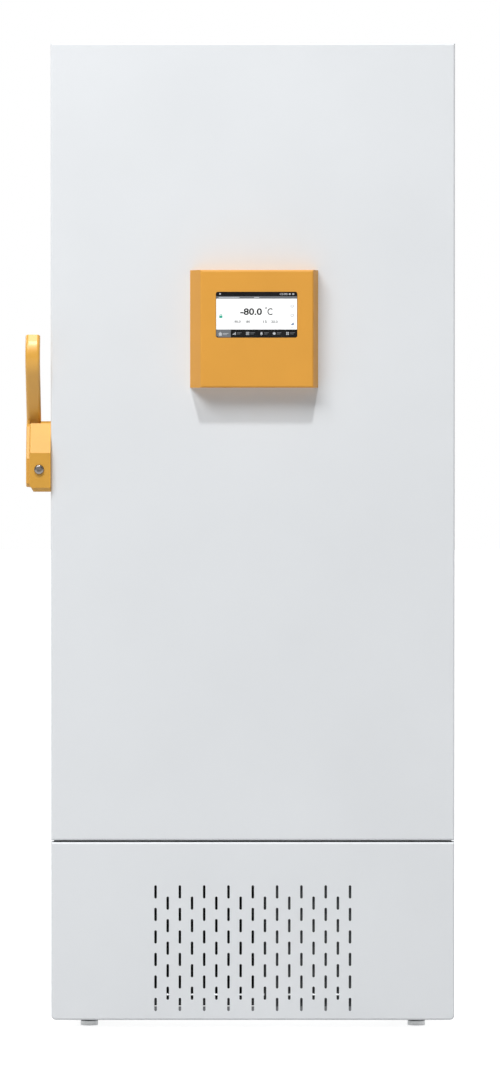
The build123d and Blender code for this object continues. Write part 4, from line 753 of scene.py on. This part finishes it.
class FREEZER_OT_gasket(bpy.types.Operator):
    """Bellows gasket of the outer door, in place of its plain solid"""

    bl_idname = "freezer.gasket"
    bl_label = "Door gasket"

    WIDTH = 24 * MM
    OUTER_CORNER = 26 * MM
    LEAST_CORNER = 2 * MM
    # Points across the strip from its outer edge inwards, and back from the door's liner
    SECTION = (
        (0.0, 0.0), (0.0, 0.16), (0.14, 0.24), (0.02, 0.36), (0.16, 0.5), (0.03, 0.64),
        (0.03, 0.9), (0.12, 1.0), (0.86, 1.0), (0.95, 0.9), (0.9, 0.66), (0.76, 0.5),
        (0.9, 0.36), (0.8, 0.24), (1.0, 0.16), (1.0, 0.0),
    )

    def execute(self, context):
        finish = context.scene.freezer_finish
        low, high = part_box("door_gasket")
        centre = ((low.x + high.x) / 2, (low.z + high.z) / 2)
        loops = []
        for inward, back in self.SECTION:
            inset = inward * self.WIDTH
            y = low.y + back * (high.y - low.y)
            wide = high.x - low.x - 2 * inset
            tall = high.z - low.z - 2 * inset
            corner = max(self.OUTER_CORNER - inset, self.LEAST_CORNER)
            loops.append([(x, y, z) for x, z in rounded_outline(centre, wide, tall, corner, 5)])
        bm = bmesh.new()
        add_loop_strip(bm, loops)
        material = extruded_rubber("grey_extruded_pvc_bellows", finish.gasket)
        gasket = finish_mesh("door_gasket_bellows", bm, material, "door", 30)
        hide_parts("door_gasket")
        return {"FINISHED"}


class FREEZER_OT_screws(bpy.types.Operator):
    """Screws of the hinges, striker, covers and control box"""

    bl_idname = "freezer.screws"
    bl_label = "Screws"

    # Hinges: half a leaf's height, how thick a leaf stands on the cabinet, and the screws about
    # a hinge's middle
    LEAF_HALF = 50 * MM
    LEAF_THICKNESS = 4 * MM
    LEAF_COLUMNS = (12 * MM, 36 * MM)
    LEAF_ROWS = (-34 * MM, 34 * MM)
    LEAF_SCREW = 5.5 * MM
    DOOR_ROWS = (-40 * MM, 40 * MM)
    DOOR_SCREW = 3.6 * MM
    DOOR_SCREW_IN = (5 * MM, 4 * MM)
    # Striker: screws from its rear edge, and from its top or foot
    STRIKER_NEAR = 12 * MM
    STRIKER_FAR = 40 * MM
    # Covers: insets of the screws from the edges
    SIDE_COVER_ALONG = (0.035, 0.36, 0.69, 0.965)
    SIDE_COVER_INSET = 14 * MM
    REAR_GRILLE_INSETS = (14 * MM, 12 * MM, 10 * MM)
    REAR_PANEL_INSETS = (14 * MM, 20 * MM)
    BEAD_HEIGHT = 3 * MM
    BOX_INSETS = (12 * MM, 16 * MM, 12 * MM)

    def execute(self, context):
        radius = context.scene.freezer_sizes.cover_screw
        zinc = zinc_plated_steel("zinc_plated_screws", srgb("bfc2c4"))
        leaf_low, leaf_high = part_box("hinge_cabinet_leaves")
        hinge_middles = (
            leaf_low.z + self.LEAF_HALF,
            (leaf_low.z + leaf_high.z) / 2,
            leaf_high.z - self.LEAF_HALF,
        )
        fixed = bmesh.new()
        self.add_hinge_and_striker_screws(fixed, hinge_middles, leaf_high.y)
        self.add_cover_screws(fixed, radius)
        finish_mesh("cabinet_screws", fixed, zinc, "cabinet")

        swinging = bmesh.new()
        leaf_low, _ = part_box("hinge_door_leaves")
        x = leaf_low.x + self.DOOR_SCREW_IN[0]
        y = leaf_low.y + self.DOOR_SCREW_IN[1]
        for z in hinge_middles:
            for rise in self.DOOR_ROWS:
                add_pan_head(swinging, (x, y, z + rise), (0, 1, 0), self.DOOR_SCREW)
        finish_mesh("door_hinge_screws", swinging, zinc, "door")
        return {"FINISHED"}

    def add_hinge_and_striker_screws(self, bm, hinge_middles, leaf_back):
        """Adds the screws of the hinge leaves and the striker on the cabinet's two sides."""
        side_low, side_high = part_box("side_covers")
        x = side_high.x + self.LEAF_THICKNESS
        for z in hinge_middles:
            for column in self.LEAF_COLUMNS:
                for rise in self.LEAF_ROWS:
                    add_pan_head(bm, (x, leaf_back - column, z + rise), (1, 0, 0), self.LEAF_SCREW)
        low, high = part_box("striker")
        x = side_low.x - self.LEAF_THICKNESS
        top = high.z - self.STRIKER_NEAR
        foot = low.z + self.STRIKER_NEAR
        for back, z in ((self.STRIKER_NEAR, top), (self.STRIKER_NEAR, foot), (self.STRIKER_FAR, foot)):
            add_pan_head(bm, (x, high.y - back, z), (-1, 0, 0), self.LEAF_SCREW)

    def add_cover_screws(self, bm, radius):
        """Adds the screws round the edges of the covers, the rear panel and the control box."""
        low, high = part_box("side_covers")
        inset = self.SIDE_COVER_INSET
        for x, out in ((low.x, -1), (high.x, 1)):
            for along in self.SIDE_COVER_ALONG:
                y = low.y + along * (high.y - low.y)
                for z in (low.z + inset, high.z - inset):
                    add_pan_head(bm, (x, y, z), (out, 0, 0), radius)
        low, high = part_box("rear_grille")
        inset, foot, top = self.REAR_GRILLE_INSETS
        for x in spread(low.x + inset, high.x - inset, 5):
            for z in (low.z + foot, high.z - top):
                add_pan_head(bm, (x, high.y, z), (0, 1, 0), radius)
        low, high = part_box("rear_panel")
        inset, end = self.REAR_PANEL_INSETS
        y = high.y - self.BEAD_HEIGHT
        columns = spread(low.x + inset, high.x - inset, 6)
        rows = spread(low.z + end, high.z - end, 9)
        places = [(x, z) for z in rows for x in (columns[0], columns[-1])]
        places += [(x, z) for x in columns[1:-1] for z in (rows[0], rows[-1])]
        for x, z in places:
            add_pan_head(bm, (x, y, z), (0, 1, 0), radius)
        low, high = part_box("control_box")
        inset, foot, top = self.BOX_INSETS
        for x in (low.x + inset, high.x - inset):
            for z in (low.z + foot, high.z - top):
                add_pan_head(bm, (x, low.y, z), (0, -1, 0), radius)


class FREEZER_OT_louvres(bpy.types.Operator):
    """Pressed lips over the louvres of the side covers"""

    bl_idname = "freezer.louvres"
    bl_label = "Louvre lips"

    ROWS = 8
    PITCH = 22 * MM
    LENGTH = 240 * MM
    REAR_MARGIN = 70 * MM
    RISE = 6 * MM
    FALL = 1 * MM
    SHEET = 0.8 * MM
    END_REACH = 2 * MM
    END_DRAW = 1.4 * MM
    STEPS = 6

    def execute(self, context):
        lift = context.scene.freezer_sizes.louvre_lift
        finish = context.scene.freezer_finish
        enamel = powder_coated_steel("white_powder_coated_louvres", finish.enamel)
        low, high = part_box("side_covers")
        middle = (low.z + high.z) / 2
        back = high.y - self.REAR_MARGIN
        front = back - self.LENGTH
        bm = bmesh.new()
        for side, out in ((low.x, -1), (high.x, 1)):
            for row in range(self.ROWS):
                z = middle + (row - (self.ROWS - 1) / 2) * self.PITCH
                self.add_hood(bm, side, out, (front, back), z, lift)
        finish_mesh("side_cover_louvres", bm, enamel, "cabinet", 50)
        return {"FINISHED"}

    def add_hood(self, bm, side, out, ends, z, lift):
        """Adds one pressed hood over a slot: closed above and at its ends, open below."""
        bottom = z - self.FALL
        loops = []
        for i in range(self.STEPS + 1):
            turn = math.pi / 2 * i / self.STEPS
            x = side + out * lift * math.sin(turn)
            height = bottom + (self.RISE + self.FALL) * math.cos(turn)
            reach = self.END_REACH - self.END_DRAW * (1 - math.sin(turn))
            loops.append(((x, ends[0] - reach, height), (x, ends[1] + reach, height)))
        outer = [[bm.verts.new(p) for p in pair] for pair in loops]
        step = Vector((-out * self.SHEET, 0, -self.SHEET))
        inner = [[bm.verts.new(Vector(p) + step) for p in pair] for pair in loops]
        for rows in (outer, inner):
            for near, far in zip(rows, rows[1:]):
                bm.faces.new((near[0], near[1], far[1], far[0]))
        for i in (0, -1):
            bm.faces.new((outer[i][0], outer[i][1], inner[i][1], inner[i][0]))
        for end in (0, 1):
            root = bm.verts.new((side, outer[0][end].co.y, bottom))
            bm.faces.new([row[end] for row in outer] + [root])
            for near, far, near_in, far_in in zip(outer, outer[1:], inner, inner[1:]):
                bm.faces.new((near[end], far[end], far_in[end], near_in[end]))


class FREEZER_OT_cooling(bpy.types.Operator):
    """Condenser fins, fan guard and the seams of the compressors"""

    bl_idname = "freezer.cooling"
    bl_label = "Cooling fittings"

    # Fins: from the condenser's sides, its front, and the shroud's foot and top
    FIN_MARGINS = (20 * MM, 12 * MM)
    FIN_DEPTH = 21 * MM
    FIN_INSET = 1 * MM
    FIN_WAVE = 0.5 * MM
    FIN_THICKNESS = 0.5 * MM
    FIN_FOOT = 9 * MM
    FIN_TOP = 3 * MM
    # Guard: radii of its rings, ends of its spokes, wire radii
    GUARD_RINGS = (44, 58, 72, 86)
    SPOKES = 12
    SPOKE_ENDS = (40 * MM, 93 * MM)
    RING_WIRE = 1.1 * MM
    SPOKE_WIRE = 1.2 * MM
    GUARD_OFFSET = 2.5 * MM
    # Compressors: seam radius, weld radius, and the place of the shells' axes in their box
    SEAM_RADIUS = 84.6 * MM
    WELD_RADIUS = 2.2 * MM
    SHELL_INSET = 92 * MM
    SHELL_AXIS_Y = 60 * MM
    SEAM_RISE = 104 * MM

    def execute(self, context):
        self.make_fins(context.scene.freezer_sizes.fin_pitch)
        self.make_guard()
        self.make_seams()
        return {"FINISHED"}

    def make_fins(self, pitch):
        """Thin fins across the face of the condenser, every second one set back a little."""
        low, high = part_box("condenser")
        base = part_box("fan_shroud")[0].z + self.FIN_FOOT
        first = low.x + self.FIN_MARGINS[0]
        last = high.x - self.FIN_MARGINS[1]
        bm = bmesh.new()
        for i in range(round((last - first) / pitch)):
            left = first + i * pitch
            right = left + self.FIN_THICKNESS
            front = low.y + self.FIN_INSET + self.FIN_WAVE * (i % 2)
            back = low.y + self.FIN_DEPTH
            outline = [(left, front), (right, front), (right, back), (left, back)]
            add_prism(bm, outline, base, high.z - self.FIN_TOP, "XY")
        aluminium = brushed_stainless("stamped_aluminium_fins", srgb("c2c4c6"), (60.0, 60.0, 1.0))
        finish_mesh("condenser_fins", bm, aluminium, "cabinet")

    def make_guard(self):
        """Wire rings and spokes behind the fan."""
        low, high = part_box("fan_shroud")
        blades_low, blades_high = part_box("fan_blades")
        axis_z = (blades_low.z + blades_high.z) / 2
        centre = Vector(((low.x + high.x) / 2, high.y + self.GUARD_OFFSET, axis_z))
        bm = bmesh.new()
        for reach in self.GUARD_RINGS:
            add_tube(bm, ring_points(centre, reach * MM, (0, 1, 0)), self.RING_WIRE, 6)
        inner, outer = self.SPOKE_ENDS
        for i in range(self.SPOKES):
            turn = 2 * math.pi * (i + 0.5) / self.SPOKES
            spoke = Vector((math.cos(turn), 0, math.sin(turn)))
            add_tube(bm, [centre + spoke * inner, centre + spoke * outer], self.SPOKE_WIRE, 6)
        wire = zinc_plated_steel("chromed_guard_wire", srgb("cccecf"))
        finish_mesh("fan_guard", bm, wire, "cabinet")

    def make_seams(self):
        """The weld bead round the middle of each compressor's shell."""
        low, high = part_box("compressors")
        bm = bmesh.new()
        for x in (low.x + self.SHELL_INSET, high.x - self.SHELL_INSET):
            seam = (x, self.SHELL_AXIS_Y, low.z + self.SEAM_RISE)
            add_tube(bm, ring_points(seam, self.SEAM_RADIUS, (0, 0, 1), 40), self.WELD_RADIUS, 6)
        enamel = dipped_enamel("black_enamelled_fittings", srgb("1b1c1f"))
        finish_mesh("compressor_seams", bm, enamel, "cabinet")


class FREEZER_OT_filter_face(bpy.types.Operator):
    """Pleats and clips of the air filter, the rod, and sheets behind the lower panel that are painted
    shade and light seen through its slots and gap
    """

    bl_idname = "freezer.filter_face"
    bl_label = "Filter, pad and strips"

    FRAME_WIDTH = 14 * MM
    # Depths from the filter's back to the pleats' backing, valleys and crests
    PLEAT_BACK = 6 * MM
    PLEAT_VALLEY = 5 * MM
    PLEAT_CREST = 1 * MM
    PLEAT_EDGE = 3 * MM
    CLIP_END = 60 * MM
    CLIP_EDGE = 7 * MM
    # Clip: width, height, corner, and where its two steps start and end behind the filter
    CLIP_PLATE = (26 * MM, 12 * MM, 2 * MM, -0.2 * MM, 2.4 * MM)
    CLIP_TONGUE = (8 * MM, 6 * MM, 1 * MM, 2 * MM, 4.4 * MM)
    # Painted shade and light behind the lower panel: the sheet beside the filter, the strip at its foot
    # and the strip in the gap at its top
    SHADE_SHEET_FOOT = 26 * MM
    SHADE_SHEET_GAP = 4 * MM
    SHADE_SHEET_DEPTH = (4.4 * MM, 9 * MM)
    SHADE_SHEET_CORNER = 6 * MM
    FOOT_SHADE_DEPTH = (1 * MM, 8 * MM)
    FOOT_SHADE_LIFT = 2 * MM
    FOOT_SHADE_CORNER = 1 * MM
    GAP_SHADE_HEIGHT = 2 * MM
    GAP_SHADE_CORNER = 0.9 * MM
    GAP_SHADE_DEPTH = (3 * MM, 38 * MM)
    GAP_SHADE_MARGIN = 10 * MM
    ROD_RISE = 23 * MM
    ROD_INSET = 2.2 * MM
    ROD_RADIUS = 2.0 * MM
    ROD_MARGIN = 30 * MM

    def execute(self, context):
        self.black = moulded_plastic("black_moulded_clips_and_painted_gap_shade", srgb("202124"))
        self.make_filter(context.scene.freezer_sizes.pleat_pitch)
        self.make_shade_sheets_and_rod()
        return {"FINISHED"}

    def make_filter(self, pleat_pitch):
        """The filter's pleats in their frame, and the clips that hold it."""
        low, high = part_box("air_filter")
        left = low.x + self.FRAME_WIDTH
        right = high.x - self.FRAME_WIDTH
        back = high.y - self.PLEAT_BACK
        count = round((right - left) / pleat_pitch)
        pitch = (right - left) / count
        outline = [(right, back), (left, back)]
        for i in range(count):
            outline.append((left + (i + 0.25) * pitch, back - self.PLEAT_VALLEY))
            outline.append((left + (i + 0.75) * pitch, back - self.PLEAT_CREST))
        outline.append((right, back - self.PLEAT_EDGE))
        pleats = bmesh.new()
        add_prism(pleats, outline, low.z + self.FRAME_WIDTH, high.z - self.FRAME_WIDTH, "XY")
        foam = open_cell_foam("black_pleated_filter_foam", srgb("17181a"))
        finish_mesh("filter_pleats", pleats, foam, "lower_panel", 30)

        clips = bmesh.new()
        for x in (low.x + self.CLIP_END, (low.x + high.x) / 2, high.x - self.CLIP_END):
            for z in (low.z + self.CLIP_EDGE, high.z - self.CLIP_EDGE):
                for width, height, corner, start, end in (self.CLIP_PLATE, self.CLIP_TONGUE):
                    outline = rounded_outline((x, z), width, height, corner, 3)
                    add_prism(clips, outline, high.y + start, high.y + end)
        finish_mesh("filter_clips", clips, self.black, "lower_panel")

    def make_shade_sheets_and_rod(self):
        """A dark grey sheet beside the filter that is painted shade over the control box, a mid-grey
        strip at the panel's foot that is painted light and shade of the pan, a black strip at its top
        that is painted shade in the gap, and the rod.
        """
        low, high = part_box("air_filter")
        panel_low, panel_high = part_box("grille_panel")
        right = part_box("control_box")[1].x
        foot = panel_low.z + self.SHADE_SHEET_FOOT

        # Painted shade: a dark grey sheet close behind the slots, darker than the control box it hides,
        # standing for the shade in the machine compartment
        middle = ((high.x + self.SHADE_SHEET_GAP + right) / 2, (foot + high.z) / 2)
        size = (right - high.x - self.SHADE_SHEET_GAP, high.z - foot, self.SHADE_SHEET_CORNER, 4)
        pad = self.make_strip(middle, size, low.y, self.SHADE_SHEET_DEPTH)
        grey = extruded_rubber("dark_grey_painted_shade_sheet", srgb("4a4c4f"), (0.85, 0.95))
        finish_mesh("panel_painted_shade_sheet", pad, grey, "lower_panel")

        # Painted light and shade: a mid-grey strip behind the lowest slots, darker than the galvanised
        # rail it hides and lighter than the filter, standing for the pan in shade with a little light
        # from outside
        middle = ((low.x + right) / 2, (panel_low.z + foot + self.FOOT_SHADE_LIFT) / 2)
        size = (right - low.x, foot - panel_low.z - self.FOOT_SHADE_LIFT, self.FOOT_SHADE_CORNER, 4)
        strip = self.make_strip(middle, size, low.y, self.FOOT_SHADE_DEPTH)
        pale = extruded_rubber("pale_grey_painted_light_and_shade_strip", srgb("77797c"), (0.85, 0.95))
        finish_mesh("panel_foot_painted_light_and_shade_strip", strip, pale, "lower_panel")

        # Painted shade: a black strip just behind the gap between the door and the lower panel, so that
        # the gap shows as a dark line
        middle = (0.0, panel_high.z + self.GAP_SHADE_CORNER)
        size = (2 * panel_high.x - self.GAP_SHADE_MARGIN, self.GAP_SHADE_HEIGHT, self.GAP_SHADE_CORNER, 3)
        gap_shade = self.make_strip(middle, size, panel_low.y, self.GAP_SHADE_DEPTH)
        finish_mesh("panel_top_painted_gap_shade", gap_shade, self.black, "lower_panel")

        rod = bmesh.new()
        y = low.y + self.ROD_INSET
        z = foot + self.ROD_RISE
        ends = (low.x + self.ROD_MARGIN, 0.0, right - self.ROD_MARGIN)
        add_tube(rod, [(x, y, z) for x in ends], self.ROD_RADIUS, 10)
        zinc = zinc_plated_steel("zinc_plated_rod", srgb("c0c2c4"))
        finish_mesh("filter_rod", rod, zinc, "lower_panel")

    @staticmethod
    def make_strip(middle, size, front, depth):
        """A flat strip with round corners, between two depths behind a front."""
        bm = bmesh.new()
        add_prism(bm, rounded_outline(middle, *size), front + depth[0], front + depth[1])
        return bm


class FREEZER_OT_inner_doors(bpy.types.Operator):
    """Pull rims and catches of the inner doors"""

    bl_idname = "freezer.inner_doors"
    bl_label = "Inner door fittings"

    PULL_HEIGHTS = {"upper": 1.4575, "lower": 0.8075}
    PULL_INSET = 34 * MM
    # Rim of a pull: width, height and corner outside and inside, and how far it stands out
    RIM_OUTSIDE = (40 * MM, 140 * MM, 19 * MM)
    RIM_INSIDE = (30 * MM, 130 * MM, 14.9 * MM)
    RIM_LIFT = 1.8 * MM
    RIM_ROOT = 0.1 * MM
    RIM_SLANT = 0.1
    CATCH_PLATE = (16 * MM, 36 * MM, 3 * MM)
    CATCH_INSET = 12 * MM
    CATCH_END = 60 * MM
    CATCH_LIFT = 1.5 * MM
    CATCH_ROOT = 0.2 * MM
    CATCH_ROWS = (-12 * MM, 12 * MM)
    CATCH_SCREW = 3 * MM

    def execute(self, context):
        grey = moulded_plastic("grey_moulded_pull_rim", srgb("9a9da0"))
        zinc = zinc_plated_steel("zinc_plated_catches", srgb("bfc2c4"))
        for name, pull in self.PULL_HEIGHTS.items():
            low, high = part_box("inner_door_" + name)
            rim = bmesh.new()
            self.add_rim(rim, low.x + self.PULL_INSET, pull, low.y)
            finish_mesh("pull_rim_" + name, rim, grey, "inner_" + name)
            catch = bmesh.new()
            x = low.x + self.CATCH_INSET
            front = low.y - self.CATCH_LIFT
            for z in (low.z + self.CATCH_END, high.z - self.CATCH_END):
                plate = rounded_outline((x, z), *self.CATCH_PLATE, 3)
                add_prism(catch, plate, front, low.y + self.CATCH_ROOT)
                for rise in self.CATCH_ROWS:
                    add_pan_head(catch, (x, front, z + rise), (0, -1, 0), self.CATCH_SCREW)
            finish_mesh("inner_catches_" + name, catch, zinc, "inner_" + name)
        return {"FINISHED"}

    def add_rim(self, bm, x, z, face):
        """Adds the raised rim round a pull, its outer side slanted in width."""
        outer = rounded_outline((x, z), *self.RIM_OUTSIDE, 8)
        inner = rounded_outline((x, z), *self.RIM_INSIDE, 8)
        root = face + self.RIM_ROOT
        top = face - self.RIM_LIFT
        slanted = [(a + (x - a) * self.RIM_SLANT, b) for a, b in outer]
        courses = ((outer, root), (slanted, top), (inner, top), (inner, root))
        add_loop_strip(bm, [[(a, y, b) for a, b in points] for points, y in courses])


class FREEZER_OT_caster_fittings(bpy.types.Operator):
    """Axle nuts and hub rings of the casters"""

    bl_idname = "freezer.caster_fittings"
    bl_label = "Caster fittings"

    NUT_RADIUS = 6.4 * MM
    NUT_SINK = 2.2 * MM
    HUB_OFFSET = 4.9 * MM
    # Section of a hub ring: radius, and height out from the hub's middle
    HUB_SECTION = (
        (5.2 * MM, 0), (11 * MM, 0), (11 * MM, 1.2 * MM), (8 * MM, 2.4 * MM), (5.2 * MM, 2.4 * MM),
    )

    def execute(self, context):
        zinc = zinc_plated_steel("zinc_plated_caster_fittings", srgb("b9bcbe"))
        nylon = moulded_plastic("white_moulded_wheel_hub", srgb("c9c9c6"))
        for place in ("front_left", "front_right", "back_left", "back_right"):
            fork_low, fork_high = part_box("caster_fork_" + place)
            wheel_low, wheel_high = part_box("caster_wheel_" + place)
            axle = (wheel_low + wheel_high) / 2
            nuts = bmesh.new()
            for side, out in ((fork_low.x, -1), (fork_high.x, 1)):
                seat = (side - out * self.NUT_SINK, axle.y, axle.z)
                add_hex_head(nuts, seat, (out, 0, 0), self.NUT_RADIUS)
            finish_mesh("axle_nuts_" + place, nuts, zinc, "caster_" + place)
            hubs = bmesh.new()
            for out in (-1, 1):
                matrix = axis_matrix((axle.x + out * self.HUB_OFFSET, axle.y, axle.z), (out, 0, 0))
                rings = []
                for radius, height in self.HUB_SECTION:
                    circle = circle_outline((0, 0), radius)
                    rings.append([matrix @ Vector((a, b, height)) for a, b in circle])
                add_loop_strip(hubs, rings)
            finish_mesh("hub_rings_" + place, hubs, nylon, "wheel_" + place)
        return {"FINISHED"}


class FREEZER_OT_stage(bpy.types.Operator):
    """Floor, lights, world and camera"""

    bl_idname = "freezer.stage"
    bl_label = "Stage"

    FLOOR_REACH = 40.0
    FLOOR_LIFT = 0.9
    # Suns: degrees above the horizon, degrees round from the front, degrees across
    KEY_SUN = (61, 3, 4)
    SIDE_SUNS = ((25, -120, 25), (25, 120, 25))
    BOX_PLACE = (-1.9, -3.6, 4.8)
    BOX_AIM = (0, -0.4, 1.4)
    BOX_SIZE = (2.4, 2.0)

    def execute(self, context):
        settings = context.scene.freezer_stage
        self.make_floor()
        self.make_world(context.scene, settings)
        self.make_sun("key_light", self.KEY_SUN, settings.key)
        for angles in self.SIDE_SUNS:
            self.make_sun("side_light", angles, settings.side)
        self.make_soft_box(settings.fill)
        self.make_camera(context.scene, settings)
        context.scene.view_settings.view_transform = "Standard"
        return {"FINISHED"}

    def make_floor(self):
        """A matt floor. It looks white to the camera and keeps the soft shadow."""
        material = textured("pale_studio_floor", srgb("b8b8b8"), WAVE, (0.99, 1.01), (0.75, 0.85))
        tree = material.node_tree
        shader = tree.nodes["Principled BSDF"]
        seen = seen_directly(tree, "Is Glossy Ray")
        lift = add_node(tree, "Math", {"operation": "MULTIPLY", 1: self.FLOOR_LIFT}, {0: seen})
        shader.inputs["Emission Color"].default_value = (1, 1, 1, 1)
        tree.links.new(lift.outputs[0], shader.inputs["Emission Strength"])
        bm = bmesh.new()
        reach = self.FLOOR_REACH
        corners = ((-reach, -reach), (reach, -reach), (reach, reach), (-reach, reach))
        bm.faces.new([bm.verts.new((x, y, 0)) for x, y in corners])
        mesh = bpy.data.meshes.new("studio_floor")
        bm.to_mesh(mesh)
        bm.free()
        mesh.materials.append(material)
        floor = bpy.data.objects.new("studio_floor", mesh)
        bpy.context.collection.objects.link(floor)

    @staticmethod
    def make_world(scene, settings):
        """An even white studio, at full strength only to the camera and through glass."""
        world = bpy.data.worlds.new("studio")
        scene.world = world
        world.use_nodes = True
        tree = world.node_tree
        ground = tree.nodes["Background"]
        ground.inputs["Color"].default_value = (1, 1, 1, 1)
        seen = seen_directly(tree, "Is Transmission Ray")
        span = {"To Min": settings.ambient, "To Max": 1.0}
        strength = add_node(tree, "MapRange", span, {"Value": seen})
        tree.links.new(strength.outputs["Result"], ground.inputs["Strength"])

    def make_sun(self, name, angles, energy):
        """A sun lamp at an elevation, at an angle round from the front and with a soft edge."""
        elevation, side, across = (math.radians(angle) for angle in angles)
        data = bpy.data.lights.new(name, "SUN")
        data.energy = energy
        data.angle = across
        level = math.cos(elevation)
        towards = Vector((math.sin(side) * level, -math.cos(side) * level, math.sin(elevation)))
        self.place_lamp(name, data, (0, 0, 0), towards)

    def make_soft_box(self, power):
        """A large soft box up in front, which lights the top of the door a little more."""
        data = bpy.data.lights.new("soft_box", "AREA")
        data.shape = "RECTANGLE"
        data.size, data.size_y = self.BOX_SIZE
        data.energy = power
        self.place_lamp("soft_box", data, self.BOX_PLACE, Vector(self.BOX_PLACE) - Vector(self.BOX_AIM))

    @staticmethod
    def place_lamp(name, data, place, towards):
        """Puts a lamp in the scene with its back in a direction."""
        lamp = bpy.data.objects.new(name, data)
        lamp.location = place
        lamp.rotation_mode = "QUATERNION"
        lamp.rotation_quaternion = towards.to_track_quat("Z", "Y")
        bpy.context.collection.objects.link(lamp)

    @staticmethod
    def make_camera(scene, settings):
        """A long lens a little above the door's middle, aimed at the photograph's centre."""
        door_low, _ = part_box("door_skin")
        aim = Vector(
            (
                (PHOTO_WIDTH / 2 - PHOTO_DOOR_CENTRE) * PHOTO_SCALE,
                door_low.y,
                (PHOTO_FLOOR - PHOTO_HEIGHT / 2) * PHOTO_SCALE + SKIRT_CLEARANCE,
            )
        )
        data = bpy.data.cameras.new("photo_camera")
        camera = bpy.data.objects.new("photo_camera", data)
        camera.location = (aim.x, door_low.y - settings.distance, settings.height)
        away = camera.location - aim
        camera.rotation_mode = "QUATERNION"
        camera.rotation_quaternion = away.to_track_quat("Z", "Y")
        data.lens = data.sensor_width * away.length / (PHOTO_HEIGHT * PHOTO_SCALE)
        data.clip_end = 100.0
        bpy.context.collection.objects.link(camera)
        scene.camera = camera


class FREEZER_PT_panel(bpy.types.Panel):
    """Lists the freezer's settings and operators"""

    bl_idname = "FREEZER_PT_panel"
    bl_label = "Freezer"
    bl_space_type = "VIEW_3D"
    bl_region_type = "UI"
    bl_category = "Freezer"

    def draw(self, context):
        layout = self.layout
        for group in SETTING_GROUPS:
            settings = getattr(context.scene, group)
            box = layout.box()
            for name in settings.__annotations__:
                box.prop(settings, name)
        for operator in PIECE_OPERATORS:
            layout.operator(operator.bl_idname)


PIECE_OPERATORS = (
    FREEZER_OT_cad_finishes,
    FREEZER_OT_display,
    FREEZER_OT_gasket,
    FREEZER_OT_screws,
    FREEZER_OT_louvres,
    FREEZER_OT_cooling,
    FREEZER_OT_filter_face,
    FREEZER_OT_inner_doors,
    FREEZER_OT_caster_fittings,
    FREEZER_OT_stage,
)
SETTING_GROUPS = {
    "freezer_finish": FreezerFinish,
    "freezer_sizes": FreezerSizes,
    "freezer_stage": FreezerStage,
}


def register():
    for name, group in SETTING_GROUPS.items():
        bpy.utils.register_class(group)
        setattr(bpy.types.Scene, name, PointerProperty(type=group))
    for operator in PIECE_OPERATORS:
        bpy.utils.register_class(operator)
    bpy.utils.register_class(FREEZER_PT_panel)


def unregister():
    bpy.utils.unregister_class(FREEZER_PT_panel)
    for operator in reversed(PIECE_OPERATORS):
        bpy.utils.unregister_class(operator)
    for name, group in SETTING_GROUPS.items():
        delattr(bpy.types.Scene, name)
        bpy.utils.unregister_class(group)


def main():
    register()
    for operator in PIECE_OPERATORS:
        group, name = operator.bl_idname.split(".")
        getattr(getattr(bpy.ops, group), name)()


if __name__ == "__main__":
    main()
